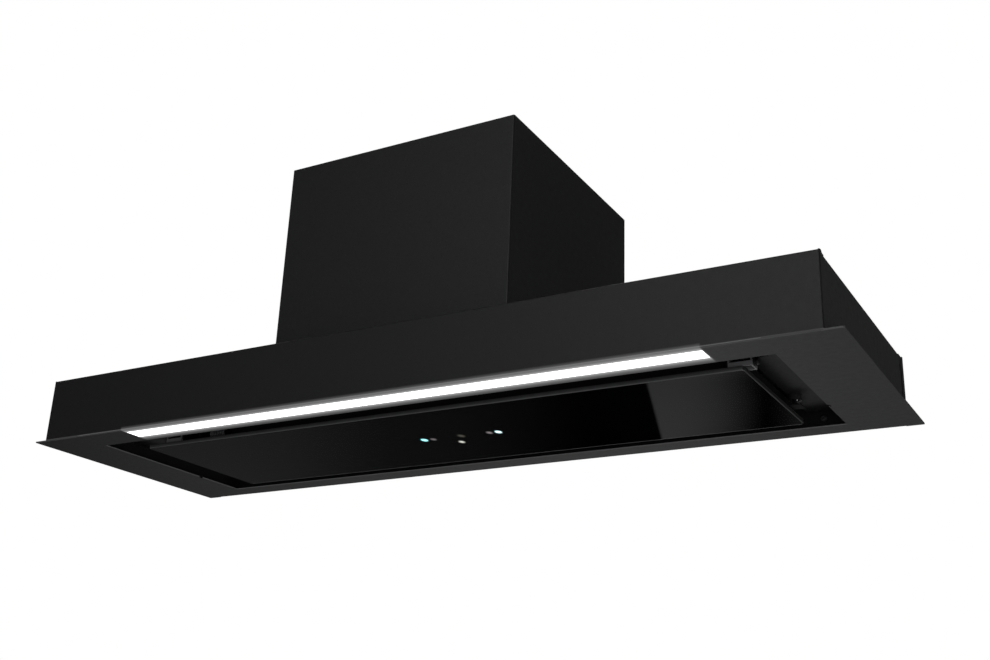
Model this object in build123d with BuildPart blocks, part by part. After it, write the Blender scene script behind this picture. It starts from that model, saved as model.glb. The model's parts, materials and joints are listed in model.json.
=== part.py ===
from build123d import *
import math
import os

# Built-in canopy range hood, seen from below: a low folded-steel canopy with an overhanging trim flange,
# a motor tower on top of it, and a black glass panel over the intake that swings down on its front edge.
# Millimetres. Origin at the centre of the flange's underside, front towards -Y, up towards +Z.

# Canopy casing
body_width = 830.0
canopy_depth = 276.0
flange_overhang = 15.0
body_height = 66.5
sheet = 1.0
bend_radius = 1.5
flange_corner = 1.5
return_width = 14.0
lap_width = 9.0
lap_chamfer = 5.0
foot_width = 12.0
fit_gap = 0.2
clip_slot_height = 6.5
clip_slot_width = 2.5
clip_slot_inset = 11.5
clip_slot_drop = 7.0

# Intake opening in the underside
side_border = 49.5
front_border = 38.0
rear_border = 26.0
notch_width = 6.0
notch_depth = 2.0

# Light strip in the front border
led_x = 6.0
led_end_inset = 55.5
led_width = 18.0
led_inset = 7.5
led_channel_wall = 1.2
led_channel_height = 12.0
led_channel_margin = 2.4
diffuser_step = 2.5
led_board_thickness = 1.2
chip_count = 31
chip_length = 3.5
chip_width = 2.8
chip_height = 0.8

# Motor tower
tower_width = 262.0
tower_setback = 20.0
tower_rear_inset = 2.0
tower_lip = 13.0
cover_mouth_margin = 14.0
cover_mouth_corner = 8.0

# Cabinet fixing holes in the canopy's top cover
fixing_spacing_x = 600.0
fixing_spacing_y = 190.0
fixing_radius = 3.25

# Air chamber above the intake
liner_margin_side = 12.5
liner_margin_front = 7.0
liner_margin_rear = 7.0
liner_foot = 5.0
shelf_height = 46.0

# Grease filters
filter_width = 266.0
filter_thickness = 8.4
filter_between = 16.0
filter_front = 15.0
filter_rear = 11.0
filter_rim = 12.0
filter_groove = 7.0
filter_skin = 1.3
filter_corner = 6.0
filter_grip = 5.0
window_margin = 4.0
window_overlap = 2.0
rail_clearance = 0.3
rail_lip_rear = 9.0
rail_overrun = 4.0
mesh_pitch = 12.0
mesh_sheet = 0.8
spring_gap = 11.0
spring_strip = 0.5
spring_strip_height = 6.0
spring_strip_length = 70.0
pull_tab_width = 40.0
pull_tab_depth = 12.0
pull_tab_drop = 6.0

# Glass panel and the tray behind it
glass_side_gap = 35.5
glass_rear_gap = 15.0
glass_thickness = 4.0
glass_corner = 3.0
glass_bevel = 0.8
glass_front_gap = 27.0
tape_thickness = 0.8
tape_width = 10.0
tray_side_inset = 8.0
tray_front_inset = 15.0
tray_rear_inset = 5.0
tray_height = 14.2
touch_board_length = 104.0
touch_board_depth = 34.0
touch_board_x = 9.0
touch_board_inset = 88.0
circuit_thickness = 1.6
touch_window_gap = 5.0
touch_housing_height = 9.0
touch_housing_wall = 1.5

# Panel hinge
hinge_inset = 7.0
hinge_height = 9.0
hinge_pin_radius = 2.5
hinge_running_gap = 0.05
hinge_plate = 1.2
ear_thickness = 1.2
ear_radius = 4.6
ear_arm_rise = 14.0
ear_arm_height = 8.0
leaf_width = 20.8
leaf_right_inset = 3.5
leaf_left_inset = 34.0
leaf_height = 8.0
leaf_front_height = 4.0
ear_gap = 0.6
spring_ear_inset = 68.8
pin_head_radius = 3.6
pin_head_length = 2.5
coil_radius = 4.0
coil_wire = 1.2
coil_pitch = 2.2
coil_turns = 8
coil_lead_out = 0.25
coil_start_inset = 83.0
coil_seat_gap = 0.3

# Panel catches
catch_inset = 134.0
catch_reach = 11.0
catch_tab_width = 14.0
stud_shoulder_radius = 3.2
stud_shoulder_height = 1.8
stud_neck_radius = 1.8
stud_neck_height = 5.0
stud_ball_radius = 3.0
socket_gap = 0.4
socket_wall = 2.4
socket_height = 5.0
bracket_plate_z = 17.0
bracket_cutout_x = 15.0
bracket_cutout_y = 14.0

# Blower
fan_wall = 2.5
scroll_half_width = 74.0
scroll_front_room = 43.5
scroll_rear_room = 5.5
scroll_floor_room = 10.5
scroll_roof_room = 3.0
scroll_step = 10.0
scroll_rim = 5.0
throat_reach = 51.0
wheel_gap = 6.0
blade_depth = 14.0
inlet_overlap = 12.0
inlet_bell = 5.0
inlet_flange_width = 11.0
inlet_depth = 15.0
inlet_lip = 1.5
guard_rings = 3
guard_wire = 2.4
guard_thickness = 2.0
guard_spokes = 6
guard_eye_radius = 8.0
wheel_half_width = 56.0
wheel_ring_width = 3.0
blade_count = 34
blade_thickness = 1.3
blade_curl = 4.5
hub_radius = 13.0
hub_length = 20.0
shaft_radius = 4.0
shaft_gap = 0.05
shaft_length = 52.0
motor_wheel_gap = 17.0
motor_front = 13.0
motor_length = 50.0
bearing_radius = 11.0
bearing_length = 6.0
bush_thickness = 3.0
bush_radius = 6.5
spider_thickness = 2.5
spider_arm = 14.0
spider_hub_radius = 20.0
arm_count = 3

# Duct outlet
duct_radius = 75.0
duct_wall = 2.0
duct_height = 33.0
duct_rear_room = 5.0
duct_flange_radius = 86.0
duct_flange = 2.5
duct_lead_in = 1.0
collar_hole_reach = 81.0
screw_count = 4
stop_ledge = 2.5
stop_height = 3.0
flap_gap = 1.2
flap_thickness = 1.5
flap_axis_offset = 6.0
flap_pin_radius = 1.0
flap_barrel_radius = 2.5
flap_post_half = 3.0
flap_post_end = 46.0

# Electrics
capacitor_radius = 15.0
capacitor_length = 58.0
capacitor_edge = 1.5
capacitor_x = 45.0
capacitor_z = 110.0
clip_band = 1.2
clip_height = 18.0
box_wall = 1.6
control_box_length = 84.0
control_box_depth = 96.0
control_box_height = 13.0
electrics_inset = 85.0
driver_length = 78.0
driver_depth = 46.0
driver_height = 14.0
driver_foot = 7.0
terminal_width = 40.0
terminal_depth = 52.0
terminal_height = 34.0
terminal_drop = 14.0
gland_side_inset = 23.0
gland_front_inset = 48.0
gland_radius = 8.0
gland_bore_radius = 4.3
gland_hex = 10.5
gland_height = 15.0

# Screws
screw_radius = 1.8
screw_head_radius = 3.6
screw_head_height = 2.2
screw_length = 8.0

# Places that follow from the sizes above
flange_width = body_width + 2 * flange_overhang
half_body = body_width / 2
half_depth = canopy_depth / 2
opening_width = body_width - 2 * side_border
half_opening = opening_width / 2
opening_front = -half_depth + front_border
opening_rear = half_depth - rear_border
opening_middle = (opening_front + opening_rear) / 2
led_length = opening_width - 2 * led_end_inset
led_y = -half_depth + led_inset + led_width / 2
side_outer = half_body - sheet
wall_inner = half_depth - sheet
cover_top = body_height - sheet
cover_bottom = cover_top - sheet
tower_front = -half_depth + tower_setback
tower_rear = half_depth - tower_rear_inset
tower_middle = (tower_front + tower_rear) / 2
tower_depth = tower_rear - tower_front
half_tower = tower_width / 2
liner_half = half_opening + liner_margin_side
liner_front = opening_front - liner_margin_front
liner_rear = opening_rear + liner_margin_rear
liner_inner_front = liner_front + sheet
filter_y0 = opening_front + filter_front
filter_y1 = opening_rear - filter_rear
filter_depth = filter_y1 - filter_y0
filter_spacing = filter_width + filter_between
filter_top = shelf_height - rail_clearance
filter_bottom = filter_top - filter_thickness
lip_top = filter_bottom - rail_clearance
glass_y0 = opening_front + glass_front_gap
glass_y1 = opening_rear - glass_rear_gap
glass_half = half_opening - glass_side_gap
tray_z = glass_thickness + tape_thickness
tray_half = glass_half - tray_side_inset
catch_x = tray_half + catch_reach
tray_y0 = glass_y0 + tray_front_inset
tray_y1 = glass_y1 - tray_rear_inset
tray_top = tray_z + tray_height - sheet
hinge_y = glass_y0 + hinge_inset
leaf_right_x = glass_half - leaf_right_inset
leaf_left_x = leaf_left_inset - glass_half
spring_ear_x = spring_ear_inset - glass_half
coil_start_x = coil_start_inset - glass_half
touch_y = glass_y0 + touch_board_inset
catch_y = glass_y0 + catch_inset
stud_seat = tray_z + sheet + hinge_plate
ball_z = stud_seat + stud_shoulder_height + stud_neck_height
shelf_top = shelf_height + sheet
scroll_edge = fan_wall + scroll_rim
scroll_room = tower_depth - scroll_front_room - scroll_rear_room - 2 * scroll_edge
scroll_radius = (scroll_room - 3 * scroll_step) / 2
fan_y = tower_front + scroll_front_room + scroll_edge + scroll_radius + scroll_step / 2
fan_z = shelf_top + scroll_floor_room + scroll_edge + scroll_radius + 1.5 * scroll_step
plate_z = fan_z + scroll_radius + 1.5 * scroll_step + scroll_edge + scroll_roof_room
tower_top_z = plate_z + sheet
tower_height = tower_top_z - cover_top
throat_front = fan_y - throat_reach
scroll_top = plate_z
wheel_radius = scroll_radius - wheel_gap
wheel_inner_radius = wheel_radius - blade_depth
inlet_radius = wheel_radius - inlet_overlap
inlet_throat_radius = inlet_radius - inlet_bell
inlet_flange_radius = inlet_radius + inlet_flange_width
guard_pitch = (inlet_radius - guard_eye_radius) / guard_rings
motor_radius = wheel_inner_radius - motor_wheel_gap
inlet_face = scroll_half_width + 2 * sheet
fan_point = (0, fan_y, fan_z)
fan_axis = Axis(fan_point, (1, 0, 0))
fan_section = Plane(origin=fan_point, x_dir=(1, 0, 0), z_dir=(0, -1, 0))
duct_inner = duct_radius - duct_wall
duct_y = tower_rear - duct_rear_room - duct_flange_radius
stop_z = tower_top_z + duct_flange
flap_z = stop_z + stop_height + rail_clearance
flap_axis_z = flap_z + flap_barrel_radius
gland_x = gland_side_inset - half_tower
gland_y = tower_front + gland_front_inset
control_box_x = electrics_inset - half_body
driver_x = half_body - electrics_inset


def slab(x0, x1, y0, y1, z0, z1, mode=Mode.ADD):
    """Flat stock between two corners, added to the piece that is being made."""
    with BuildSketch(Plane.XY.offset(z0)) as outline:
        with Locations(((x0 + x1) / 2, (y0 + y1) / 2)):
            Rectangle(x1 - x0, y1 - y0)
    extrude(outline.sketch, amount=z1 - z0, mode=mode)


def round_slab(x0, x1, y0, y1, z0, z1, radius, mode=Mode.ADD):
    """Flat stock with rounded corners in plan."""
    with BuildSketch(Plane.XY.offset(z0)) as outline:
        with Locations(((x0 + x1) / 2, (y0 + y1) / 2)):
            RectangleRounded(x1 - x0, y1 - y0, radius)
    extrude(outline.sketch, amount=z1 - z0, mode=mode)


def upright(x, y, z0, z1, radius, mode=Mode.ADD):
    """Round stock or a round hole that stands along Z."""
    with BuildSketch(Plane.XY.offset(z0)) as outline:
        with Locations((x, y)):
            Circle(radius)
    extrude(outline.sketch, amount=z1 - z0, mode=mode)


def lying(x0, x1, y, z, radius, mode=Mode.ADD):
    """Round stock or a round hole that lies along X."""
    with BuildSketch(Plane.YZ.offset(x0)) as outline:
        with Locations((y, z)):
            Circle(radius)
    extrude(outline.sketch, amount=x1 - x0, mode=mode)


def round_bend(reach, y_sign, z, z_sign):
    """Takes the sharp edge off a fold that runs along X, on the outer face of the front or rear wall."""
    with BuildSketch(Plane.YZ.offset(-reach)) as corner:
        with Locations((y_sign * (half_depth - bend_radius / 2), z - z_sign * bend_radius / 2)):
            Rectangle(bend_radius, bend_radius)
        with Locations((y_sign * (half_depth - bend_radius), z - z_sign * bend_radius)):
            Circle(bend_radius, mode=Mode.SUBTRACT)
    extrude(corner.sketch, amount=2 * reach, mode=Mode.SUBTRACT)


def screw(x, y, z, up=True):
    """Pan-head screw whose head sits on a face at z, with the shank the other way."""
    sign = 1 if up else -1
    with BuildSketch(Plane.XZ.offset(-y)) as profile:
        with BuildLine():
            Polyline(
                (x, z + sign * screw_head_height),
                (x + screw_head_radius * 0.7, z + sign * screw_head_height),
                (x + screw_head_radius, z + sign * screw_head_height * 0.5),
                (x + screw_head_radius, z),
                (x + screw_radius - fit_gap, z),
                (x + screw_radius - fit_gap, z - sign * screw_length),
                (x, z - sign * screw_length),
                close=True,
            )
        make_face()
    revolve(profile.sketch, axis=Axis((x, y, z), (0, 0, 1)))


def save(piece, name):
    piece.part.label = name
    export_step(piece.part, f"parts/{name}.step")


os.makedirs("parts", exist_ok=True)


# Canopy shell: underside, front wall and rear wall folded from one sheet
def wall_of_shell(sign):
    """Front (-1) or rear (+1) wall with laps round the sides and a return at the top."""
    with BuildSketch(Plane.XY) as plan:
        with Locations((0, sign * (half_depth - lap_width / 2))):
            Rectangle(body_width, lap_width)
        outer = plan.vertices().group_by(Axis.Y)[0 if sign < 0 else -1]
        fillet(outer, bend_radius)
        with Locations((0, sign * (half_depth - lap_width / 2 - sheet / 2))):
            Rectangle(body_width - 2 * sheet, lap_width - sheet, mode=Mode.SUBTRACT)
    extrude(plan.sketch, amount=body_height)
    inner = sign * (half_depth - return_width)
    outer = sign * (half_depth - sheet / 2)
    slab(-side_outer, side_outer, min(inner, outer), max(inner, outer), cover_top, body_height)


with BuildPart() as canopy_shell:
    with BuildSketch() as plate:
        Rectangle(flange_width, canopy_depth)
        fillet(plate.vertices(), flange_corner)
        with Locations((0, opening_middle)):
            Rectangle(opening_width, opening_rear - opening_front, mode=Mode.SUBTRACT)
        with Locations((led_x, led_y)):
            Rectangle(led_length, led_width, mode=Mode.SUBTRACT)
        notch_y = catch_y - 2 * notch_width
        with Locations((-half_opening, notch_y), (half_opening, notch_y)):
            Rectangle(2 * notch_depth, notch_width, mode=Mode.SUBTRACT)
    extrude(amount=sheet)
    for end in (-1, 1):
        wall_of_shell(end)
        round_bend(half_body - bend_radius, end, 0, -1)
        round_bend(half_body - bend_radius, end, body_height, 1)
    # the rear return stops short of the tower
    slab(
        -half_tower - sheet, half_tower + sheet, half_depth - return_width - sheet, wall_inner,
        cover_top, body_height, Mode.SUBTRACT,
    )
    # the laps are cut back at a slant below their top corner
    for end in (-1, 1):
        lap_edge = end * (half_depth - lap_width)
        with BuildSketch(Plane.YZ.offset(-half_body)) as slant:
            with BuildLine():
                Polyline(
                    (lap_edge, body_height),
                    (lap_edge, body_height - lap_chamfer),
                    (lap_edge + end * lap_chamfer, body_height),
                    close=True,
                )
            make_face()
        extrude(slant.sketch, amount=sheet, mode=Mode.SUBTRACT)
        extrude(slant.sketch.moved(Location((body_width - sheet, 0, 0))), amount=sheet, mode=Mode.SUBTRACT)
save(canopy_shell, "canopy_shell")


# Side panels: folded trays that close the ends inside the laps
def side_panel(sign):
    inner, outer = sorted((sign * (side_outer - sheet), sign * side_outer))
    foot = sorted((sign * (side_outer - foot_width), sign * side_outer))
    ledge = sorted((sign * (side_outer - return_width), sign * side_outer))
    with BuildPart() as panel:
        slab(inner, outer, -wall_inner, wall_inner, sheet, cover_bottom)
        slab(foot[0], foot[1], -wall_inner, wall_inner, sheet, 2 * sheet)
        slab(ledge[0], ledge[1], -wall_inner, wall_inner, cover_bottom - sheet, cover_bottom)
        slot_z = cover_bottom - clip_slot_drop
        for end in (-1, 1):
            slot_y = end * (half_depth - clip_slot_inset)
            slab(
                inner, outer, slot_y - clip_slot_width / 2, slot_y + clip_slot_width / 2,
                slot_z - clip_slot_height, slot_z, Mode.SUBTRACT,
            )
    return panel


side_panel_left = side_panel(-1)
save(side_panel_left, "side_panel_left")
side_panel_right = side_panel(1)
save(side_panel_right, "side_panel_right")

# Top cover with the mouth into the tower and the cabinet fixing holes
with BuildPart() as top_cover:
    slab(
        -side_outer + fit_gap, side_outer - fit_gap,
        -wall_inner + fit_gap, wall_inner - fit_gap, cover_bottom, cover_top,
    )
    round_slab(
        -half_tower + cover_mouth_margin, half_tower - cover_mouth_margin,
        tower_front + cover_mouth_margin, tower_rear - cover_mouth_margin,
        cover_bottom, cover_top, cover_mouth_corner, Mode.SUBTRACT,
    )
    with Locations((0, 0, cover_top)):
        with GridLocations(fixing_spacing_x, fixing_spacing_y, 2, 2):
            Hole(fixing_radius, depth=2 * sheet)
save(top_cover, "top_cover")

# Tower: front and sides in one wrap, open at the back between two lips
with BuildPart() as tower_wrap:
    with BuildSketch(Plane.XY.offset(cover_top)) as wrap_plan:
        with Locations((0, tower_middle)):
            Rectangle(tower_width, tower_depth)
        fillet(wrap_plan.vertices(), bend_radius)
        with Locations((0, tower_middle)):
            Rectangle(tower_width - 2 * sheet, tower_depth - 2 * sheet, mode=Mode.SUBTRACT)
        with Locations((0, tower_rear)):
            Rectangle(tower_width - 2 * tower_lip, 4 * sheet, mode=Mode.SUBTRACT)
    extrude(amount=tower_height)
    # foot flanges spread on the cover
    with BuildSketch(Plane.XY.offset(cover_top)) as foot_plan:
        with Locations((0, tower_middle)):
            Rectangle(tower_width - sheet, tower_depth - sheet)
            Rectangle(tower_width - 2 * tower_lip, tower_depth - 2 * tower_lip, mode=Mode.SUBTRACT)
        with Locations((0, tower_rear)):
            Rectangle(tower_width - 2 * tower_lip, 2 * tower_lip, mode=Mode.SUBTRACT)
    extrude(amount=sheet)
save(tower_wrap, "tower_wrap")

with BuildPart() as tower_back:
    slab(-half_tower + sheet, half_tower - sheet, tower_rear, tower_rear + sheet, cover_top, tower_top_z)
save(tower_back, "tower_back")

# Tower lid with the duct hole, folded down at its edges
top_x = half_tower - sheet - fit_gap
top_y0 = tower_front + sheet + fit_gap
top_y1 = tower_rear - sheet - fit_gap
with BuildPart() as tower_top:
    slab(-top_x, top_x, top_y0, top_y1, plate_z - tower_lip, tower_top_z)
    slab(
        -top_x + sheet, top_x - sheet, top_y0 + sheet, top_y1 - sheet,
        plate_z - tower_lip, plate_z, Mode.SUBTRACT,
    )
    upright(0, duct_y, plate_z, tower_top_z, duct_inner + 2 * fit_gap, Mode.SUBTRACT)
    upright(gland_x, gland_y, plate_z, tower_top_z, gland_radius + fit_gap, Mode.SUBTRACT)
    with Locations((0, duct_y, tower_top_z)):
        with PolarLocations(collar_hole_reach, screw_count, start_angle=45):
            Hole(screw_radius, depth=2 * sheet)
save(tower_top, "tower_top")

# Liner: the folded air chamber over the intake, with two filter windows in its shelf
window_y0 = filter_y0 + filter_grip + window_margin
window_y1 = filter_y1 - filter_rim
with BuildPart() as inner_liner:
    slab(-liner_half, liner_half, liner_front, liner_rear, sheet, shelf_height + sheet)
    slab(
        -liner_half + sheet, liner_half - sheet, liner_front + sheet, liner_rear - sheet,
        2 * sheet, shelf_height, Mode.SUBTRACT,
    )
    slab(
        -liner_half + 2 * liner_foot, liner_half - 2 * liner_foot, liner_front + liner_foot,
        liner_rear - liner_foot, sheet, 2 * sheet, Mode.SUBTRACT,
    )
    for sign in (-1, 1):
        window_half = filter_width / 2 - filter_rim + window_overlap
        centre = sign * filter_spacing / 2
        slab(
            centre - window_half, centre + window_half, window_y0, window_y1,
            shelf_height, shelf_height + sheet, Mode.SUBTRACT,
        )
save(inner_liner, "inner_liner")

# Filter rails hang under the shelf: an angle in front, a channel behind
rail_half = filter_spacing / 2 + filter_width / 2 + rail_overrun
lip_bottom = lip_top - sheet
with BuildPart() as filter_rail_front:
    web = filter_y0 - sheet - fit_gap
    slab(-rail_half, rail_half, web, web + sheet, lip_bottom, shelf_height)
    slab(-rail_half, rail_half, web, filter_y0 + filter_grip, lip_bottom, lip_top)
save(filter_rail_front, "filter_rail_front")

with BuildPart() as filter_rail_rear:
    web = filter_y1 + spring_gap
    slab(-rail_half, rail_half, web, web + sheet, lip_bottom, shelf_height)
    slab(-rail_half, rail_half, filter_y1 - rail_lip_rear, web + sheet, lip_bottom, lip_top)
save(filter_rail_rear, "filter_rail_rear")


# Grease filter cassettes
def filter_frame(sign):
    centre = sign * filter_spacing / 2
    x0, x1 = centre - filter_width / 2, centre + filter_width / 2
    with BuildPart() as frame:
        round_slab(x0, x1, filter_y0, filter_y1, filter_bottom, filter_top, filter_corner)
        slab(
            x0 + filter_rim, x1 - filter_rim, filter_y0 + filter_rim, filter_y1 - filter_rim,
            filter_bottom, filter_top, Mode.SUBTRACT,
        )
        inset = filter_rim - filter_groove
        slab(
            x0 + inset, x1 - inset, filter_y0 + inset, filter_y1 - inset,
            filter_bottom + filter_skin, filter_top - filter_skin, Mode.SUBTRACT,
        )
        # finger tab under the front rim
        tab_y = filter_y0 + filter_rim - sheet
        slab(
            centre - pull_tab_width / 2, centre + pull_tab_width / 2, tab_y - sheet, tab_y,
            filter_bottom - pull_tab_drop, filter_bottom + sheet,
        )
        slab(
            centre - pull_tab_width / 2, centre + pull_tab_width / 2, tab_y - sheet, tab_y + pull_tab_depth,
            filter_bottom - pull_tab_drop, filter_bottom - pull_tab_drop + sheet,
        )
    return frame


def filter_mesh(sign):
    """Pleated metal mesh, drawn as one zigzag sheet in the groove of its frame."""
    inset = filter_rim - filter_groove + fit_gap
    centre = sign * filter_spacing / 2
    half_height = filter_thickness / 2 - filter_skin - fit_gap - mesh_sheet / 2
    middle = (filter_top + filter_bottom) / 2
    half_length = filter_width / 2 - inset
    folds = int(2 * half_length / (mesh_pitch / 2))
    step = 2 * half_length / folds
    upper = []
    for i in range(folds + 1):
        side = 1 if i % 2 else -1
        upper.append((centre - half_length + i * step, middle + side * half_height + mesh_sheet / 2))
    lower = [(x, z - mesh_sheet) for x, z in reversed(upper)]
    with BuildPart() as mesh:
        with BuildSketch(Plane.XZ.offset(-filter_y1 + inset)) as pleats:
            with BuildLine():
                Polyline(*upper, *lower, close=True)
            make_face()
        extrude(pleats.sketch, amount=filter_depth - 2 * inset)
    return mesh


filter_frame_left = filter_frame(-1)
save(filter_frame_left, "filter_frame_left")
filter_frame_right = filter_frame(1)
save(filter_frame_right, "filter_frame_right")
filter_mesh_left = filter_mesh(-1)
save(filter_mesh_left, "filter_mesh_left")
filter_mesh_right = filter_mesh(1)
save(filter_mesh_right, "filter_mesh_right")


def filter_spring(sign):
    """Bowed strip that presses the cassette onto the front rail."""
    centre = sign * filter_spacing / 2
    back = filter_y1 + spring_gap - fit_gap / 2
    front = filter_y1 + rail_clearance
    z0 = (lip_top + shelf_height - spring_strip_height) / 2
    with BuildPart() as strip:
        with BuildSketch(Plane.XY.offset(z0)) as bow:
            with BuildLine():
                left = (centre - spring_strip_length / 2, back)
                right = (centre + spring_strip_length / 2, back)
                outer = ThreePointArc(left, (centre, front), right)
                inner = ThreePointArc(
                    (right[0] - 2 * spring_strip, back),
                    (centre, front + spring_strip),
                    (left[0] + 2 * spring_strip, back),
                )
                Line(outer @ 1, inner @ 0)
                Line(inner @ 1, outer @ 0)
            make_face()
        extrude(amount=spring_strip_height)
    return strip


filter_spring_left = filter_spring(-1)
save(filter_spring_left, "filter_spring_left")
filter_spring_right = filter_spring(1)
save(filter_spring_right, "filter_spring_right")

# Glass panel with polished bevels
with BuildPart() as glass_panel:
    round_slab(-glass_half, glass_half, glass_y0, glass_y1, 0, glass_thickness, glass_corner)
    chamfer(glass_panel.faces().sort_by(Axis.Z)[0].edges(), glass_bevel)
save(glass_panel, "glass_panel")

with BuildPart() as glass_tape:
    for y in (tray_y0 + tape_width, tray_y1 - tape_width):
        slab(
            -tray_half + tape_width, tray_half - tape_width, y - tape_width / 2, y + tape_width / 2,
            glass_thickness, tray_z,
        )
    for x in (-tray_half + tape_width, tray_half - tape_width):
        slab(
            x - tape_width / 2, x + tape_width / 2, tray_y0 + 2 * tape_width, tray_y1 - 2 * tape_width,
            glass_thickness, tray_z,
        )
save(glass_tape, "glass_tape")

# Tray behind the glass, with a window for the touch board and a tab at each end for the catch stud
with BuildPart() as panel_tray:
    round_slab(-tray_half, tray_half, tray_y0, tray_y1, tray_z, tray_top, bend_radius)
    slab(
        -tray_half + sheet, tray_half - sheet, tray_y0 + sheet, tray_y1 - sheet,
        tray_z + sheet, tray_top, Mode.SUBTRACT,
    )
    window_x = touch_board_length / 2 + touch_window_gap
    window_y = touch_board_depth / 2 + touch_window_gap
    slab(
        touch_board_x - window_x, touch_board_x + window_x, touch_y - window_y, touch_y + window_y,
        tray_z, tray_z + sheet, Mode.SUBTRACT,
    )
    tab_end = catch_x + catch_tab_width / 2
    for sign in (-1, 1):
        x0, x1 = sorted((sign * tray_half, sign * tab_end))
        slab(
            x0, x1, catch_y - catch_tab_width / 2, catch_y + catch_tab_width / 2,
            stud_seat - hinge_plate, stud_seat,
        )
save(panel_tray, "panel_tray")

with BuildPart() as panel_back:
    round_slab(-tray_half, tray_half, tray_y0, tray_y1, tray_top, tray_top + sheet, bend_radius)
save(panel_back, "panel_back")

# Touch controls behind the glass
with BuildPart() as touch_board:
    slab(
        touch_board_x - touch_board_length / 2, touch_board_x + touch_board_length / 2,
        touch_y - touch_board_depth / 2, touch_y + touch_board_depth / 2,
        glass_thickness + fit_gap, glass_thickness + fit_gap + circuit_thickness,
    )
save(touch_board, "touch_board")

with BuildPart() as touch_housing:
    half_x = window_x + 2 * touch_housing_wall
    half_y = window_y + 2 * touch_housing_wall
    base = tray_z + sheet
    round_slab(
        touch_board_x - half_x, touch_board_x + half_x, touch_y - half_y, touch_y + half_y,
        base, base + touch_housing_height, 2 * touch_housing_wall,
    )
    slab(
        touch_board_x - half_x + touch_housing_wall, touch_board_x + half_x - touch_housing_wall,
        touch_y - half_y + touch_housing_wall, touch_y + half_y - touch_housing_wall,
        base, base + touch_housing_height - touch_housing_wall, Mode.SUBTRACT,
    )
save(touch_housing, "touch_housing")


# Panel hinges: a channel leaf on the tray, ears on the liner, and a pin through both
def hinge_leaf(centre):
    x0, x1 = centre - leaf_width / 2, centre + leaf_width / 2
    z0 = glass_thickness + fit_gap
    z1 = z0 + leaf_height
    front = glass_y0 + hinge_plate
    with BuildPart() as leaf:
        slab(x0, x1, front, front + hinge_plate, z0, z0 + leaf_front_height)
        slab(x0, x0 + hinge_plate, front, tray_y0, z0, z1 + hinge_plate)
        slab(x1 - hinge_plate, x1, front, tray_y0, z0, z1 + hinge_plate)
        slab(x0, x1, tray_y0 - hinge_plate, tray_y0, z0, z1 + hinge_plate)
        lying(x0, x1, hinge_y, hinge_height, hinge_pin_radius + hinge_running_gap, Mode.SUBTRACT)
    return leaf


hinge_leaf_left = hinge_leaf(leaf_left_x)
save(hinge_leaf_left, "hinge_leaf_left")
hinge_leaf_right = hinge_leaf(leaf_right_x)
save(hinge_leaf_right, "hinge_leaf_right")

leaf_reach = leaf_width / 2 + ear_gap + ear_thickness / 2
right_ears = [leaf_right_x - leaf_reach, leaf_right_x + leaf_reach]
left_ears = [leaf_left_x - leaf_reach, leaf_left_x + leaf_reach, spring_ear_x]
coil_end_x = coil_start_x + (coil_turns + coil_lead_out) * coil_pitch
pin_end_x = coil_end_x + coil_pitch
arm_z0 = hinge_height + ear_arm_rise
arm_z1 = arm_z0 + ear_arm_height


def hinge_bracket(ears):
    """Ears that reach over from the liner's front wall and drop to the hinge line."""
    x0, x1 = min(ears) - ear_thickness / 2, max(ears) + ear_thickness / 2
    with BuildPart() as bracket:
        slab(x0, x1, liner_inner_front, liner_inner_front + hinge_plate, arm_z0 - hinge_plate, arm_z1)
        for x in ears:
            with BuildSketch(Plane.YZ.offset(x - ear_thickness / 2)) as ear:
                with Locations(((liner_inner_front + hinge_y + ear_radius) / 2, (arm_z0 + arm_z1) / 2)):
                    Rectangle(hinge_y + ear_radius - liner_inner_front, ear_arm_height)
                with Locations((hinge_y, (hinge_height + arm_z0) / 2)):
                    Rectangle(2 * ear_radius, ear_arm_rise)
                with Locations((hinge_y, hinge_height)):
                    Circle(ear_radius)
                    Circle(hinge_pin_radius, mode=Mode.SUBTRACT)
            extrude(ear.sketch, amount=ear_thickness)
    return bracket


hinge_bracket_left = hinge_bracket(left_ears)
with hinge_bracket_left:
    # rest for the spring's fixed leg
    slab(
        spring_ear_x, pin_end_x, hinge_y - ear_radius, hinge_y + ear_radius, arm_z0, arm_z0 + hinge_plate,
    )
save(hinge_bracket_left, "hinge_bracket_left")
hinge_bracket_right = hinge_bracket(right_ears)
save(hinge_bracket_right, "hinge_bracket_right")

# Hinge pins: riveted heads outside, the left one long enough to carry the spring
with BuildPart() as hinge_pins:
    right_face = right_ears[1] + ear_thickness / 2
    left_face = left_ears[0] - ear_thickness / 2
    lying(right_ears[0] - ear_thickness, right_face, hinge_y, hinge_height, hinge_pin_radius)
    lying(right_face, right_face + pin_head_length, hinge_y, hinge_height, pin_head_radius)
    lying(left_face, pin_end_x, hinge_y, hinge_height, hinge_pin_radius)
    lying(left_face - pin_head_length, left_face, hinge_y, hinge_height, pin_head_radius)
    lying(pin_end_x, pin_end_x + pin_head_length, hinge_y, hinge_height, pin_head_radius - coil_wire / 2)
    heads = hinge_pins.faces().sort_by(Axis.X)
    fillet([heads[0].edges()[0], heads[-1].edges()[0]], pin_head_length / 2)
save(hinge_pins, "hinge_pins")


# Torsion spring round the left hinge pin: one leg on the bracket, one against the tray
def coil_point(turns):
    angle = 2 * math.pi * turns
    return Vector(
        coil_start_x + coil_pitch * turns,
        hinge_y - coil_radius * math.sin(angle),
        hinge_height - coil_radius * math.cos(angle),
    )


def coil_direction(turns):
    angle = 2 * math.pi * turns
    rise = coil_pitch / (2 * math.pi)
    return Vector(rise, -coil_radius * math.cos(angle), coil_radius * math.sin(angle)).normalized()


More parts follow.
